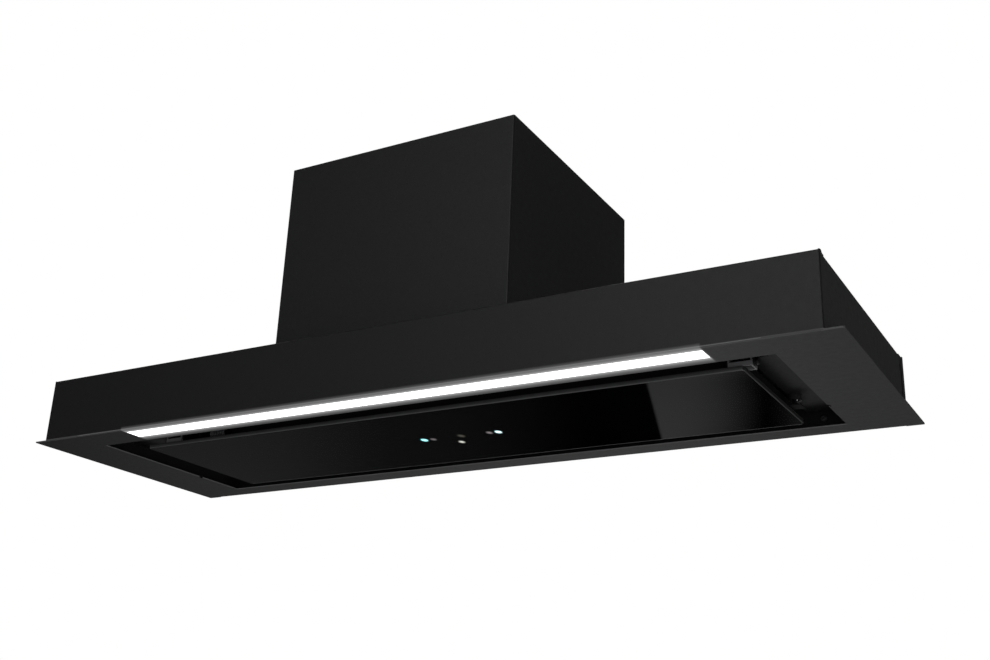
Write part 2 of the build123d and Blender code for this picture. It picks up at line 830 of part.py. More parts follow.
def biarc(start, start_direction, end, end_direction):
    """Two arcs that leave start and reach end along the given directions."""
    span = end - start
    both = start_direction + end_direction
    along = span.dot(both)
    spare = 4 - both.dot(both)
    reach = (-along + math.sqrt(along * along + span.dot(span) * spare)) / spare
    middle = ((start + start_direction * reach) + (end - end_direction * reach)) * 0.5
    first = TangentArc(start, middle, tangent=start_direction)
    TangentArc(middle, end, tangent=first % 1)


def least_coil_gap():
    """Least distance between wires of neighbouring turns, less the wire."""
    samples = 72
    first = [coil_point(i / samples) for i in range(samples)]
    second = [coil_point(0.5 + i / samples) for i in range(2 * samples)]
    gaps = [(a - b).length for a in first[: samples // 4] for b in second[samples // 4:]]
    return min(gaps) - coil_wire


with BuildPart() as hinge_spring:
    all_turns = coil_turns + coil_lead_out
    entry, leaving = coil_point(0), coil_point(all_turns)
    rear_run = tray_y0 - coil_wire / 2 - coil_seat_gap - entry.Y
    rise_run = arm_z0 - coil_wire / 2 - coil_seat_gap - leaving.Z
    leg_rear = entry - coil_direction(0) * rear_run
    leg_top = leaving + coil_direction(all_turns) * rise_run
    stops = [i / 2 for i in range(2 * coil_turns + 1)] + [all_turns]
    with BuildLine() as wire_path:
        Line(leg_rear, entry)
        for a, b in zip(stops, stops[1:]):
            biarc(coil_point(a), coil_direction(a), coil_point(b), coil_direction(b))
        Line(leaving, leg_top)
    with BuildSketch(Plane(origin=leg_rear, z_dir=coil_direction(0))):
        Circle(coil_wire / 2)
    sweep(path=wire_path.wires()[0])
save(hinge_spring, "hinge_spring")
print("hinge spring: least gap between turns", round(least_coil_gap(), 2), "mm")

# Catches: a ball stud on each end of the tray, snapped into a socket under a bracket
with BuildPart() as catch_studs:
    for sign in (-1, 1):
        top = stud_seat + stud_shoulder_height
        upright(sign * catch_x, catch_y, stud_seat, top, stud_shoulder_radius)
        upright(sign * catch_x, catch_y, top, ball_z, stud_neck_radius)
        with Locations((sign * catch_x, catch_y, ball_z)):
            Sphere(stud_ball_radius)
save(catch_studs, "catch_studs")

with BuildPart() as catch_sockets:
    bore = stud_ball_radius + socket_gap
    for sign in (-1, 1):
        x = sign * catch_x
        upright(x, catch_y, bracket_plate_z - socket_height, bracket_plate_z, bore + socket_wall)
        upright(x, catch_y, bracket_plate_z - socket_height, bracket_plate_z, bore, Mode.SUBTRACT)
        slab(
            x - bore - 2 * socket_wall, x + bore + 2 * socket_wall,
            catch_y - socket_gap, catch_y + socket_gap,
            bracket_plate_z - socket_height, bracket_plate_z - socket_height / 2, Mode.SUBTRACT,
        )
save(catch_sockets, "catch_sockets")


def catch_bracket(sign):
    """Side plate over the gap beside the glass, cut out round the hinge, with a foot up the liner's wall."""
    wall = liner_half - sheet
    inner = catch_x - stud_ball_radius - socket_gap - socket_wall
    x0, x1 = sorted((sign * inner, sign * wall))
    foot = sorted((sign * wall, sign * (wall - hinge_plate)))
    cut = sorted((sign * inner, sign * (glass_half + bracket_cutout_x)))
    y0, y1 = liner_inner_front + fit_gap, liner_rear - sheet - fit_gap
    with BuildPart() as bracket:
        slab(x0, x1, y0, y1, bracket_plate_z, bracket_plate_z + hinge_plate)
        slab(foot[0], foot[1], y0, y1, bracket_plate_z, bracket_plate_z + foot_width)
        slab(
            cut[0], cut[1], y0, hinge_y + bracket_cutout_y, bracket_plate_z, bracket_plate_z + hinge_plate,
            Mode.SUBTRACT,
        )
        upright(
            sign * catch_x, catch_y, bracket_plate_z, bracket_plate_z + hinge_plate,
            stud_ball_radius + socket_gap, Mode.SUBTRACT,
        )
    return bracket


catch_bracket_left = catch_bracket(-1)
save(catch_bracket_left, "catch_bracket_left")
catch_bracket_right = catch_bracket(1)
save(catch_bracket_right, "catch_bracket_right")

# Light strip
channel_half = led_width / 2 + led_channel_margin
channel_end = led_length / 2 + led_channel_margin
channel_top = sheet + led_channel_height
board_top = channel_top - led_channel_wall
board_bottom = board_top - led_board_thickness
with BuildPart() as led_channel:
    slab(
        led_x - channel_end, led_x + channel_end, led_y - channel_half, led_y + channel_half,
        sheet, channel_top,
    )
    slab(
        led_x - channel_end + led_channel_wall, led_x + channel_end - led_channel_wall,
        led_y - channel_half + led_channel_wall, led_y + channel_half - led_channel_wall,
        sheet, board_top, Mode.SUBTRACT,
    )
save(led_channel, "led_channel")

with BuildPart() as led_board:
    slab(
        led_x - led_length / 2 + fit_gap, led_x + led_length / 2 - fit_gap,
        led_y - led_width / 2 + fit_gap, led_y + led_width / 2 - fit_gap, board_bottom, board_top,
    )
save(led_board, "led_board")

with BuildPart() as led_chips:
    pitch = (led_length - led_width) / (chip_count - 1)
    with BuildSketch(Plane.XY.offset(board_bottom - chip_height)):
        with Locations((led_x, led_y)):
            with GridLocations(pitch, 0, chip_count, 1):
                Rectangle(chip_length, chip_width)
    extrude(amount=chip_height)
save(led_chips, "led_chips")

with BuildPart() as led_diffuser:
    half_x, half_y = led_length / 2 - fit_gap, led_width / 2 - fit_gap
    slab(led_x - half_x, led_x + half_x, led_y - half_y, led_y + half_y, 0, sheet + diffuser_step)
    inset = led_channel_margin - led_channel_wall
    slab(
        led_x - half_x - inset, led_x + half_x + inset, led_y - half_y - inset, led_y + half_y + inset,
        sheet, sheet + diffuser_step,
    )
save(led_diffuser, "led_diffuser")


# Blower scroll: three tangent arcs whose centres step round a small square, and a straight throat
def scroll_face(grow):
    """Outline of the scroll's inside, grown by a wall, as a sketch across the tower."""
    near = scroll_radius + grow
    half = scroll_step / 2
    centres = [
        (fan_y - half, fan_z - half),
        (fan_y + half, fan_z - half),
        (fan_y + half, fan_z + half),
    ]
    tongue_y = throat_front - grow
    tongue_angle = math.degrees(math.acos((tongue_y - centres[0][0]) / near))
    with BuildSketch(Plane.YZ) as outline:
        with BuildLine():
            first = CenterArc(centres[0], near, tongue_angle, 180 - tongue_angle)
            CenterArc(centres[1], near + scroll_step, 180, 90)
            last = CenterArc(centres[2], near + 2 * scroll_step, 270, 90)
            Polyline(last @ 1, ((last @ 1).X, scroll_top), (tongue_y, scroll_top), first @ 0)
        make_face()
    return outline.sketch


def scroll_case(sign):
    with BuildPart() as case:
        extrude(scroll_face(fan_wall), amount=sign * scroll_half_width)
        extrude(scroll_face(fan_wall + scroll_rim), amount=sign * fan_wall)
        extrude(scroll_face(0), amount=sign * (scroll_half_width - fan_wall), mode=Mode.SUBTRACT)
        x0, x1 = sorted((0, sign * 2 * scroll_half_width))
        lying(x0, x1, fan_y, fan_z, inlet_radius, Mode.SUBTRACT)
    return case


scroll_case_left = scroll_case(-1)
save(scroll_case_left, "scroll_case_left")
scroll_case_right = scroll_case(1)
save(scroll_case_right, "scroll_case_right")


# Inlet rings: bell mouths that lead into the wheel, the left one with a finger guard
def inlet_ring(sign, guard):
    with BuildPart() as ring:
        with BuildSketch(fan_section) as profile:
            with BuildLine():
                out = sign * scroll_half_width
                face = sign * inlet_face
                deep = sign * (scroll_half_width - inlet_depth)
                lip = inlet_throat_radius + inlet_lip
                Line((out, inlet_flange_radius), (face, inlet_flange_radius))
                Line((face, inlet_flange_radius), (face, inlet_radius + 3.0))
                bell = ThreePointArc(
                    (face, inlet_radius + 3.0),
                    (sign * (scroll_half_width - 3.5), inlet_throat_radius + 1.2),
                    (deep, inlet_throat_radius),
                )
                Line(bell @ 1, (deep, lip))
                back = ThreePointArc(
                    (deep, lip),
                    (sign * (scroll_half_width - 5.0), inlet_throat_radius + 2.7),
                    (out, inlet_radius - fit_gap),
                )
                Line(back @ 1, (out, inlet_flange_radius))
            make_face()
        revolve(profile.sketch, axis=fan_axis)
        if guard:
            x0 = min(face, face + sign * guard_thickness)
            outer_ring = inlet_radius - guard_pitch / guard_rings
            spoke_end = (inlet_radius + inlet_flange_radius) / 2
            with BuildSketch(Plane.YZ.offset(x0)) as wires:
                with Locations((fan_y, fan_z)):
                    for i in range(guard_rings):
                        radius = outer_ring - i * guard_pitch
                        Circle(radius + guard_wire / 2)
                        Circle(radius - guard_wire / 2, mode=Mode.SUBTRACT)
                    with PolarLocations((guard_eye_radius + spoke_end) / 2, guard_spokes):
                        Rectangle(spoke_end - guard_eye_radius, guard_wire)
            extrude(wires.sketch, amount=guard_thickness)
    return ring


inlet_ring_left = inlet_ring(-1, True)
save(inlet_ring_left, "inlet_ring_left")
inlet_ring_right = inlet_ring(1, False)
save(inlet_ring_right, "inlet_ring_right")

# Wheel: a double-sided drum of forward-curved blades on a centre disc
wheel_plane = Plane(origin=fan_point, x_dir=(0, 1, 0), z_dir=(1, 0, 0))
with BuildPart() as blower_wheel:
    with BuildSketch(wheel_plane.offset(-sheet)):
        Circle(wheel_radius)
    extrude(amount=2 * sheet)
    middle_radius = (wheel_radius + wheel_inner_radius) / 2
    with BuildSketch(wheel_plane.offset(-wheel_half_width)) as blades:
        with BuildLine(mode=Mode.PRIVATE) as blade_line:
            ThreePointArc(
                (wheel_inner_radius + blade_thickness, 0),
                (middle_radius, -blade_curl / 4),
                (wheel_radius - blade_thickness, blade_curl),
            )
        with BuildSketch(mode=Mode.PRIVATE) as blade:
            trace(blade_line.line, line_width=blade_thickness)
        with PolarLocations(0, blade_count):
            add(blade.sketch)
    extrude(blades.sketch, amount=2 * wheel_half_width)
    for start in (-wheel_half_width, wheel_half_width - wheel_ring_width):
        with BuildSketch(wheel_plane.offset(start)):
            Circle(wheel_radius)
            Circle(wheel_inner_radius + blade_thickness, mode=Mode.SUBTRACT)
        extrude(amount=wheel_ring_width)
    with BuildSketch(wheel_plane.offset(-hub_length / 2)):
        Circle(hub_radius)
    extrude(amount=hub_length)
    lying(-hub_length, hub_length, fan_y, fan_z, shaft_radius + shaft_gap / 2, Mode.SUBTRACT)
save(blower_wheel, "blower_wheel")

nut_face = -hub_length / 2
nut_length = 6.0
with BuildPart() as motor_shaft:
    lying(nut_face - nut_length - 2, nut_face - nut_length - 2 + shaft_length, fan_y, fan_z, shaft_radius)
    chamfer(motor_shaft.faces().sort_by(Axis.X)[0].edges(), 0.6)
save(motor_shaft, "motor_shaft")

with BuildPart() as shaft_nut:
    with BuildSketch(wheel_plane.offset(nut_face - nut_length)):
        RegularPolygon(hub_radius * 0.6, 6)
        Circle(shaft_radius + shaft_gap / 2, mode=Mode.SUBTRACT)
    extrude(amount=nut_length)
save(shaft_nut, "shaft_nut")

# Motor in the right half of the wheel, carried by a three-armed spider on rubber bushes
motor_rear = motor_front + motor_length
spider_face = inlet_face + bush_thickness
with BuildPart() as motor_housing:
    with BuildSketch(fan_section) as half:
        with BuildLine():
            Polyline(
                (motor_front, bearing_radius + fit_gap / 2),
                (motor_front, bearing_radius + 3.0),
                (motor_front + 4, motor_radius * 0.7),
                (motor_front + 8, motor_radius),
                (motor_rear - 6, motor_radius),
                (motor_rear, motor_radius * 0.8),
                (motor_rear, spider_hub_radius - 6),
                (spider_face, spider_hub_radius - 6),
                (spider_face, 0),
                (motor_front + shaft_length - hub_length, 0),
                (motor_front + shaft_length - hub_length, shaft_radius + 1),
                (motor_front + bearing_length, shaft_radius + 1),
                (motor_front + bearing_length, bearing_radius + fit_gap / 2),
                close=True,
            )
        make_face()
    revolve(half.sketch, axis=fan_axis)
save(motor_housing, "motor_housing")

with BuildPart() as motor_bearing:
    lying(motor_front, motor_front + bearing_length - fit_gap, fan_y, fan_z, bearing_radius)
    lying(motor_front, motor_front + bearing_length, fan_y, fan_z, shaft_radius + shaft_gap, Mode.SUBTRACT)
save(motor_bearing, "motor_bearing")

bush_circle = (inlet_flange_radius + inlet_radius) / 2 + 1.5
with BuildPart() as motor_spider:
    with BuildSketch(wheel_plane.offset(spider_face)):
        Circle(spider_hub_radius)
        with PolarLocations(bush_circle / 2, arm_count, start_angle=90):
            Rectangle(bush_circle, spider_arm)
        with PolarLocations(bush_circle, arm_count, start_angle=90):
            Circle(spider_arm / 2)
            Circle(screw_radius, mode=Mode.SUBTRACT)
    extrude(amount=spider_thickness)
save(motor_spider, "motor_spider")

with BuildPart() as motor_bushes:
    with BuildSketch(wheel_plane.offset(inlet_face)):
        with PolarLocations(bush_circle, arm_count, start_angle=90):
            Circle(bush_radius)
            Circle(screw_radius, mode=Mode.SUBTRACT)
    extrude(amount=bush_thickness)
save(motor_bushes, "motor_bushes")

# Duct collar with a stop ledge and a bar that carries the damper pins
bar_half = flap_axis_offset - flap_barrel_radius - fit_gap
with BuildPart() as duct_collar:
    upright(0, duct_y, tower_top_z, tower_top_z + duct_flange, duct_flange_radius)
    upright(0, duct_y, plate_z, tower_top_z + duct_height, duct_radius)
    upright(0, duct_y, plate_z, tower_top_z + duct_height, duct_inner, Mode.SUBTRACT)
    rim = duct_collar.faces().sort_by(Axis.Z)[-1].edges().sort_by(SortBy.RADIUS)[-1]
    chamfer(rim, duct_lead_in)
    upright(0, duct_y, stop_z, stop_z + stop_height, duct_inner + duct_wall / 2)
    upright(0, duct_y, stop_z, stop_z + stop_height, duct_inner - stop_ledge, Mode.SUBTRACT)
    # the hole in the lid takes the collar's lower end
    with BuildSketch(Plane.XY.offset(plate_z)) as lower:
        with Locations((0, duct_y)):
            Circle(duct_radius + sheet)
            Circle(duct_inner + fit_gap, mode=Mode.SUBTRACT)
    extrude(lower.sketch, amount=sheet, mode=Mode.SUBTRACT)
    slab(
        -duct_inner - duct_wall / 2, duct_inner + duct_wall / 2, duct_y - bar_half, duct_y + bar_half,
        stop_z, stop_z + stop_height,
    )
    post_top = flap_axis_z + flap_barrel_radius
    post_half = flap_axis_offset + flap_barrel_radius
    for x0, x1 in (
        (-flap_post_half, flap_post_half),
        (flap_post_end, flap_post_end + 2 * flap_post_half),
        (-flap_post_end - 2 * flap_post_half, -flap_post_end),
    ):
        slab(x0, x1, duct_y - post_half, duct_y + post_half, stop_z, post_top)
    for sign in (-1, 1):
        lying(
            -duct_inner, duct_inner, duct_y + sign * flap_axis_offset, flap_axis_z,
            flap_pin_radius, Mode.SUBTRACT,
        )
    with Locations((0, duct_y, tower_top_z + duct_flange)):
        with PolarLocations(collar_hole_reach, screw_count, start_angle=45):
            Hole(screw_radius, depth=duct_flange + sheet)
save(duct_collar, "duct_collar")


def damper_flap(sign):
    """Half disc with two barrels on its pin, notched round the posts."""
    axis_y = duct_y + sign * flap_axis_offset
    radius = duct_inner - flap_gap
    barrel_start = flap_post_half + rail_clearance
    barrel_end = flap_post_end - rail_clearance
    with BuildPart() as flap:
        with BuildSketch(Plane.XY.offset(flap_z)) as half_disc:
            with Locations((0, duct_y)):
                Circle(radius)
            with Locations((0, duct_y - sign * (duct_radius - flap_axis_offset))):
                Rectangle(2 * duct_radius, 2 * duct_radius, mode=Mode.SUBTRACT)
            notch = post_half - flap_axis_offset + 1.0
            for centre in (0, flap_post_end + flap_post_half, -flap_post_end - flap_post_half):
                with Locations((centre, axis_y + sign * notch / 2)):
                    Rectangle(2 * barrel_start, notch, mode=Mode.SUBTRACT)
        extrude(half_disc.sketch, amount=flap_thickness)
        for side in (-1, 1):
            x0, x1 = sorted((side * barrel_start, side * barrel_end))
            lying(x0, x1, axis_y, flap_axis_z, flap_barrel_radius)
        bore = flap_pin_radius + hinge_running_gap
        lying(-duct_radius, duct_radius, axis_y, flap_axis_z, bore, Mode.SUBTRACT)
    return flap


damper_flap_front = damper_flap(-1)
save(damper_flap_front, "damper_flap_front")
damper_flap_rear = damper_flap(1)
save(damper_flap_rear, "damper_flap_rear")

with BuildPart() as damper_pins:
    end = flap_post_end + 2 * flap_post_half
    for sign in (-1, 1):
        lying(-end, end, duct_y + sign * flap_axis_offset, flap_axis_z, flap_pin_radius)
save(damper_pins, "damper_pins")

with BuildPart() as duct_screws:
    for i in range(screw_count):
        angle = math.radians(45 + i * 360 / screw_count)
        screw(
            collar_hole_reach * math.cos(angle), duct_y + collar_hole_reach * math.sin(angle),
            tower_top_z + duct_flange,
        )
save(duct_screws, "duct_screws")

# Run capacitor in a clip on the tower's front wall
clip_wall = tower_front + sheet
capacitor_y = clip_wall + capacitor_radius + fit_gap + clip_band + sheet
with BuildPart() as capacitor:
    upright(capacitor_x, capacitor_y, capacitor_z, capacitor_z + capacitor_length, capacitor_radius)
    fillet(capacitor.edges().filter_by(GeomType.CIRCLE), capacitor_edge)
save(capacitor, "capacitor")

with BuildPart() as capacitor_clip:
    z0 = capacitor_z + (capacitor_length - clip_height) / 2
    z1 = z0 + clip_height
    upright(capacitor_x, capacitor_y, z0, z1, capacitor_radius + fit_gap + clip_band)
    slab(
        capacitor_x - 2 * capacitor_radius, capacitor_x + 2 * capacitor_radius, clip_wall,
        clip_wall + clip_band + sheet, z0, z1,
    )
    upright(capacitor_x, capacitor_y, z0, z1, capacitor_radius + fit_gap, Mode.SUBTRACT)
    slab(
        capacitor_x - capacitor_radius / 2, capacitor_x + capacitor_radius / 2, capacitor_y,
        capacitor_y + 2 * capacitor_radius, z0, z1, Mode.SUBTRACT,
    )
save(capacitor_clip, "capacitor_clip")

# Control box and light driver on the liner's shelf, one in each wing of the canopy
box_y = liner_front + control_box_depth / 2 + 2 * liner_foot
with BuildPart() as control_box:
    x0, x1 = control_box_x - control_box_length / 2, control_box_x + control_box_length / 2
    y0, y1 = box_y - control_box_depth / 2, box_y + control_box_depth / 2
    round_slab(x0, x1, y0, y1, shelf_top, shelf_top + control_box_height, 2 * box_wall)
    slab(
        x0 + box_wall, x1 - box_wall, y0 + box_wall, y1 - box_wall,
        shelf_top + box_wall, shelf_top + control_box_height, Mode.SUBTRACT,
    )
save(control_box, "control_box")

with BuildPart() as control_lid:
    z0 = shelf_top + control_box_height
    round_slab(x0, x1, y0, y1, z0, z0 + box_wall, 2 * box_wall)
    lip_x0, lip_x1 = x0 + box_wall + fit_gap, x1 - box_wall - fit_gap
    lip_y0, lip_y1 = y0 + box_wall + fit_gap, y1 - box_wall - fit_gap
    slab(lip_x0, lip_x1, lip_y0, lip_y1, z0 - box_wall, z0)
    slab(
        lip_x0 + box_wall, lip_x1 - box_wall, lip_y0 + box_wall, lip_y1 - box_wall,
        z0 - box_wall, z0, Mode.SUBTRACT,
    )
save(control_lid, "control_lid")

with BuildPart() as control_board:
    slab(lip_x0, lip_x1, lip_y0, lip_y1, shelf_top + box_wall, shelf_top + box_wall + circuit_thickness)
    slab(
        control_box_x - driver_depth / 4, control_box_x + driver_depth / 4, box_y - driver_depth / 4,
        box_y + driver_depth / 4, shelf_top + box_wall + circuit_thickness,
        shelf_top + control_box_height - 2 * box_wall,
    )
save(control_board, "control_board")

with BuildPart() as led_driver:
    x0, x1 = driver_x - driver_length / 2, driver_x + driver_length / 2
    y0, y1 = box_y - driver_depth / 2, box_y + driver_depth / 2
    round_slab(x0, x1, y0, y1, shelf_top, shelf_top + driver_height, box_wall)
    slab(
        x0 - driver_foot, x1 + driver_foot, y0 + 2 * box_wall, y1 - 2 * box_wall,
        shelf_top, shelf_top + box_wall,
    )
save(led_driver, "led_driver")

# Terminal box on the tower's left wall, under the cable gland in the lid
with BuildPart() as terminal_box:
    z1 = plate_z - terminal_drop
    z0 = z1 - terminal_height
    x0 = -half_tower + sheet
    y0, y1 = gland_y - terminal_depth / 2, gland_y + terminal_depth / 2
    slab(x0, x0 + terminal_width, y0, y1, z0, z1)
    fillet(terminal_box.faces().sort_by(Axis.X)[-1].edges(), 2 * box_wall)
    upright(gland_x, gland_y, z1 - terminal_height / 2, z1, gland_bore_radius, Mode.SUBTRACT)
save(terminal_box, "terminal_box")

with BuildPart() as cable_gland:
    upright(gland_x, gland_y, plate_z - gland_height / 2, tower_top_z + gland_height, gland_radius)
    with BuildSketch(Plane.XY.offset(tower_top_z)):
        with Locations((gland_x, gland_y)):
            RegularPolygon(gland_hex, 6)
    extrude(amount=gland_height / 3)
    with BuildSketch(Plane.XY.offset(plate_z - gland_height / 3)):
        with Locations((gland_x, gland_y)):
            RegularPolygon(gland_hex, 6)
    extrude(amount=gland_height / 3)
    fillet(cable_gland.faces().sort_by(Axis.Z)[-1].edges(), gland_radius * 0.35)
    gland_foot = plate_z - gland_height / 2
    upright(gland_x, gland_y, gland_foot, tower_top_z + gland_height, gland_bore_radius, Mode.SUBTRACT)
save(cable_gland, "cable_gland")
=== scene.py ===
import json
import math

import bmesh
import bpy
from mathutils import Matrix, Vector
from mathutils.bvhtree import BVHTree


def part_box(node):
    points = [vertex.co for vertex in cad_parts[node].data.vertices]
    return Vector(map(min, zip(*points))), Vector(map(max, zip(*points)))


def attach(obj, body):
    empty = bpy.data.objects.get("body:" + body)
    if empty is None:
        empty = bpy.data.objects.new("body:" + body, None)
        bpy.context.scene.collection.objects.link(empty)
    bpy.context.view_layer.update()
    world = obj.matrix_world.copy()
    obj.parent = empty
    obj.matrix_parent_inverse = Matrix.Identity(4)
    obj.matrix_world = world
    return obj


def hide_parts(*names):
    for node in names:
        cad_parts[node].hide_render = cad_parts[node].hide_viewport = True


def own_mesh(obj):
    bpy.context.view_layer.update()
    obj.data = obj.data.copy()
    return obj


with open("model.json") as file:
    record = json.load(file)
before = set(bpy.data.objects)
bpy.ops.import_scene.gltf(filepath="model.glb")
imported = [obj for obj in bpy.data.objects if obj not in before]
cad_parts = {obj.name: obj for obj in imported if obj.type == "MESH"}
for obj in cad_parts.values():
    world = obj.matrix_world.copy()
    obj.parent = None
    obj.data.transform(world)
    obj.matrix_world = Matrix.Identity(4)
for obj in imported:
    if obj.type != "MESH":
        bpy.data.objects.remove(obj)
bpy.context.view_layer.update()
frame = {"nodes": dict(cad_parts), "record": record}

# Black built-in range hood, seen from below and from its right. Metres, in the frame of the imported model.

MM = 0.001
nodes = frame["nodes"]

# Half length of the opening in the casing
opening_half = 366.0 * MM

# Light strip in the front border: its middle, and half the size of what glows inside its rim
strip_rim = 1.0 * MM
strip_low, strip_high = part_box("led_diffuser")
strip_middle = tuple((a + b) / 2 for a, b in zip(strip_low, strip_high))
strip_half = tuple((b - a) / 2 - strip_rim for a, b in zip(strip_low, strip_high))

# Touch marks that shine through the glass: name, place and radius in millimetres, colour of the light
touch_marks = [
    ("light_on", (-33.0, 10.0), 2.9, (0.80, 2.40, 2.50)),
    ("light_off", (-23.0, 11.0), 2.7, (0.17, 0.15, 0.155)),
    ("speed_low", (10.0, 10.5), 3.3, (0.070, 0.066, 0.055)),
    ("speed_high", (-1.0, 30.0), 2.7, (0.80, 0.80, 0.72)),
    ("fan_off", (42.0, 11.0), 2.8, (0.22, 0.20, 0.205)),
    ("fan_on", (51.5, 12.0), 2.9, (1.60, 2.40, 2.50)),
]


# Shader helpers

class Shader:
    """A material with a principled shader, and short calls that add and join nodes."""

    def __init__(self, name, colour, roughness, metallic=0.0, specular=0.5):
        self.material = bpy.data.materials.new(name)
        self.material.use_nodes = True
        self.material.diffuse_color = (*colour, 1.0)
        self.tree = self.material.node_tree
        self.tree.nodes.clear()
        self.output = self.node("ShaderNodeOutputMaterial")
        self.surface = self.node("ShaderNodeBsdfPrincipled")
        self.surface.inputs["Base Color"].default_value = (*colour, 1.0)
        self.surface.inputs["Roughness"].default_value = roughness
        self.surface.inputs["Metallic"].default_value = metallic
        self.surface.inputs["Specular IOR Level"].default_value = specular
        self.join(self.surface.outputs["BSDF"], self.output.inputs["Surface"])
        self.place = self.node("ShaderNodeTexCoord").outputs["Object"]

    def node(self, kind, **values):
        made = self.tree.nodes.new(kind)
        for key, value in values.items():
            setattr(made, key, value)
        return made

    def join(self, start, end):
        self.tree.links.new(start, end)

    def noise(self, size, detail=2.0, stretch=(1.0, 1.0, 1.0)):
        """Noise whose grains are about size metres across."""
        mapping = self.node("ShaderNodeMapping")
        mapping.inputs["Scale"].default_value = stretch
        self.join(self.place, mapping.inputs["Vector"])
        made = self.node("ShaderNodeTexNoise")
        made.inputs["Scale"].default_value = 1.0 / size
        made.inputs["Detail"].default_value = detail
        self.join(mapping.outputs["Vector"], made.inputs["Vector"])
        return made.outputs["Fac"]

    def cells(self, size, feature="F1"):
        made = self.node("ShaderNodeTexVoronoi", feature=feature)
        made.inputs["Scale"].default_value = 1.0 / size
        self.join(self.place, made.inputs["Vector"])
        return made

    def spread(self, value, low, high, start=0.0, end=1.0):
        """Maps value from start..end to low..high."""
        made = self.node("ShaderNodeMapRange")
        made.inputs["From Min"].default_value = start
        made.inputs["From Max"].default_value = end
        made.inputs["To Min"].default_value = low
        made.inputs["To Max"].default_value = high
        self.join(value, made.inputs["Value"])
        return made.outputs["Result"]

    def blend(self, share, first, second):
        """Colour that goes from first to second; each is a colour or a socket."""
        made = self.node("ShaderNodeMix", data_type="RGBA")
        self.join(share, made.inputs["Factor"])
        for name, value in (("A", first), ("B", second)):
            socket = next(s for s in made.inputs if s.name == name and s.type == "RGBA")
            if isinstance(value, bpy.types.NodeSocket):
                self.join(value, socket)
            else:
                socket.default_value = (*value, 1.0)
        return next(s for s in made.outputs if s.type == "RGBA")

    def maths(self, operation, first, second=0.0):
        made = self.node("ShaderNodeMath", operation=operation)
        for index, value in enumerate((first, second)):
            if isinstance(value, bpy.types.NodeSocket):
                self.join(value, made.inputs[index])
            else:
                made.inputs[index].default_value = value
        return made.outputs["Value"]

    def axis(self, name):
        parts = self.node("ShaderNodeSeparateXYZ")
        self.join(self.place, parts.inputs["Vector"])
        return parts.outputs[name]

    def outside(self, axis, middle, half):
        """Distance past a slot that is 2 half wide along one axis, 0 within it."""
        offset = self.maths("ABSOLUTE", self.maths("SUBTRACT", self.axis(axis), middle))
        return self.maths("MAXIMUM", self.maths("SUBTRACT", offset, half), 0.0)

    def length(self, first, second):
        squares = [self.maths("MULTIPLY", value, value) for value in (first, second)]
        return self.maths("SQRT", self.maths("ADD", *squares))

    def glow(self, colour, strength):
        self.surface.inputs["Emission Color"].default_value = (*colour, 1.0)
        self.join(strength, self.surface.inputs["Emission Strength"])

    def colour(self, socket):
        self.join(socket, self.surface.inputs["Base Color"])

    def rough(self, socket):
        self.join(socket, self.surface.inputs["Roughness"])

    def bump(self, height, depth, strength=1.0):
        made = self.node("ShaderNodeBump")
        made.inputs["Strength"].default_value = strength
        made.inputs["Distance"].default_value = depth
        self.join(height, made.inputs["Height"])
        if self.surface.inputs["Normal"].is_linked:
            before = self.surface.inputs["Normal"].links[0].from_socket
            self.join(before, made.inputs["Normal"])
        self.join(made.outputs["Normal"], self.surface.inputs["Normal"])


# Finishes

black_paint = (0.0070, 0.0070, 0.0073)


def powder_coat(name, colour, roughness, specular):
    """Fine matt powder coat: sub-millimetre grain over a faint orange peel."""
    coat = Shader(name, colour, roughness, specular=specular)
    grain = coat.noise(0.7 * MM, detail=3.0)
    peel = coat.noise(6.0 * MM, detail=1.0)
    light = tuple(min(1.0, c * 1.5) for c in colour)
    dark = tuple(c * 0.62 for c in colour)
    coat.colour(coat.blend(coat.spread(grain, 0.0, 1.0, 0.3, 0.7), dark, light))
    coat.rough(coat.spread(peel, roughness - 0.02, roughness + 0.02, 0.3, 0.7))
    coat.bump(grain, 0.06 * MM, 0.4)
    coat.bump(peel, 0.02 * MM, 0.2)
    return coat


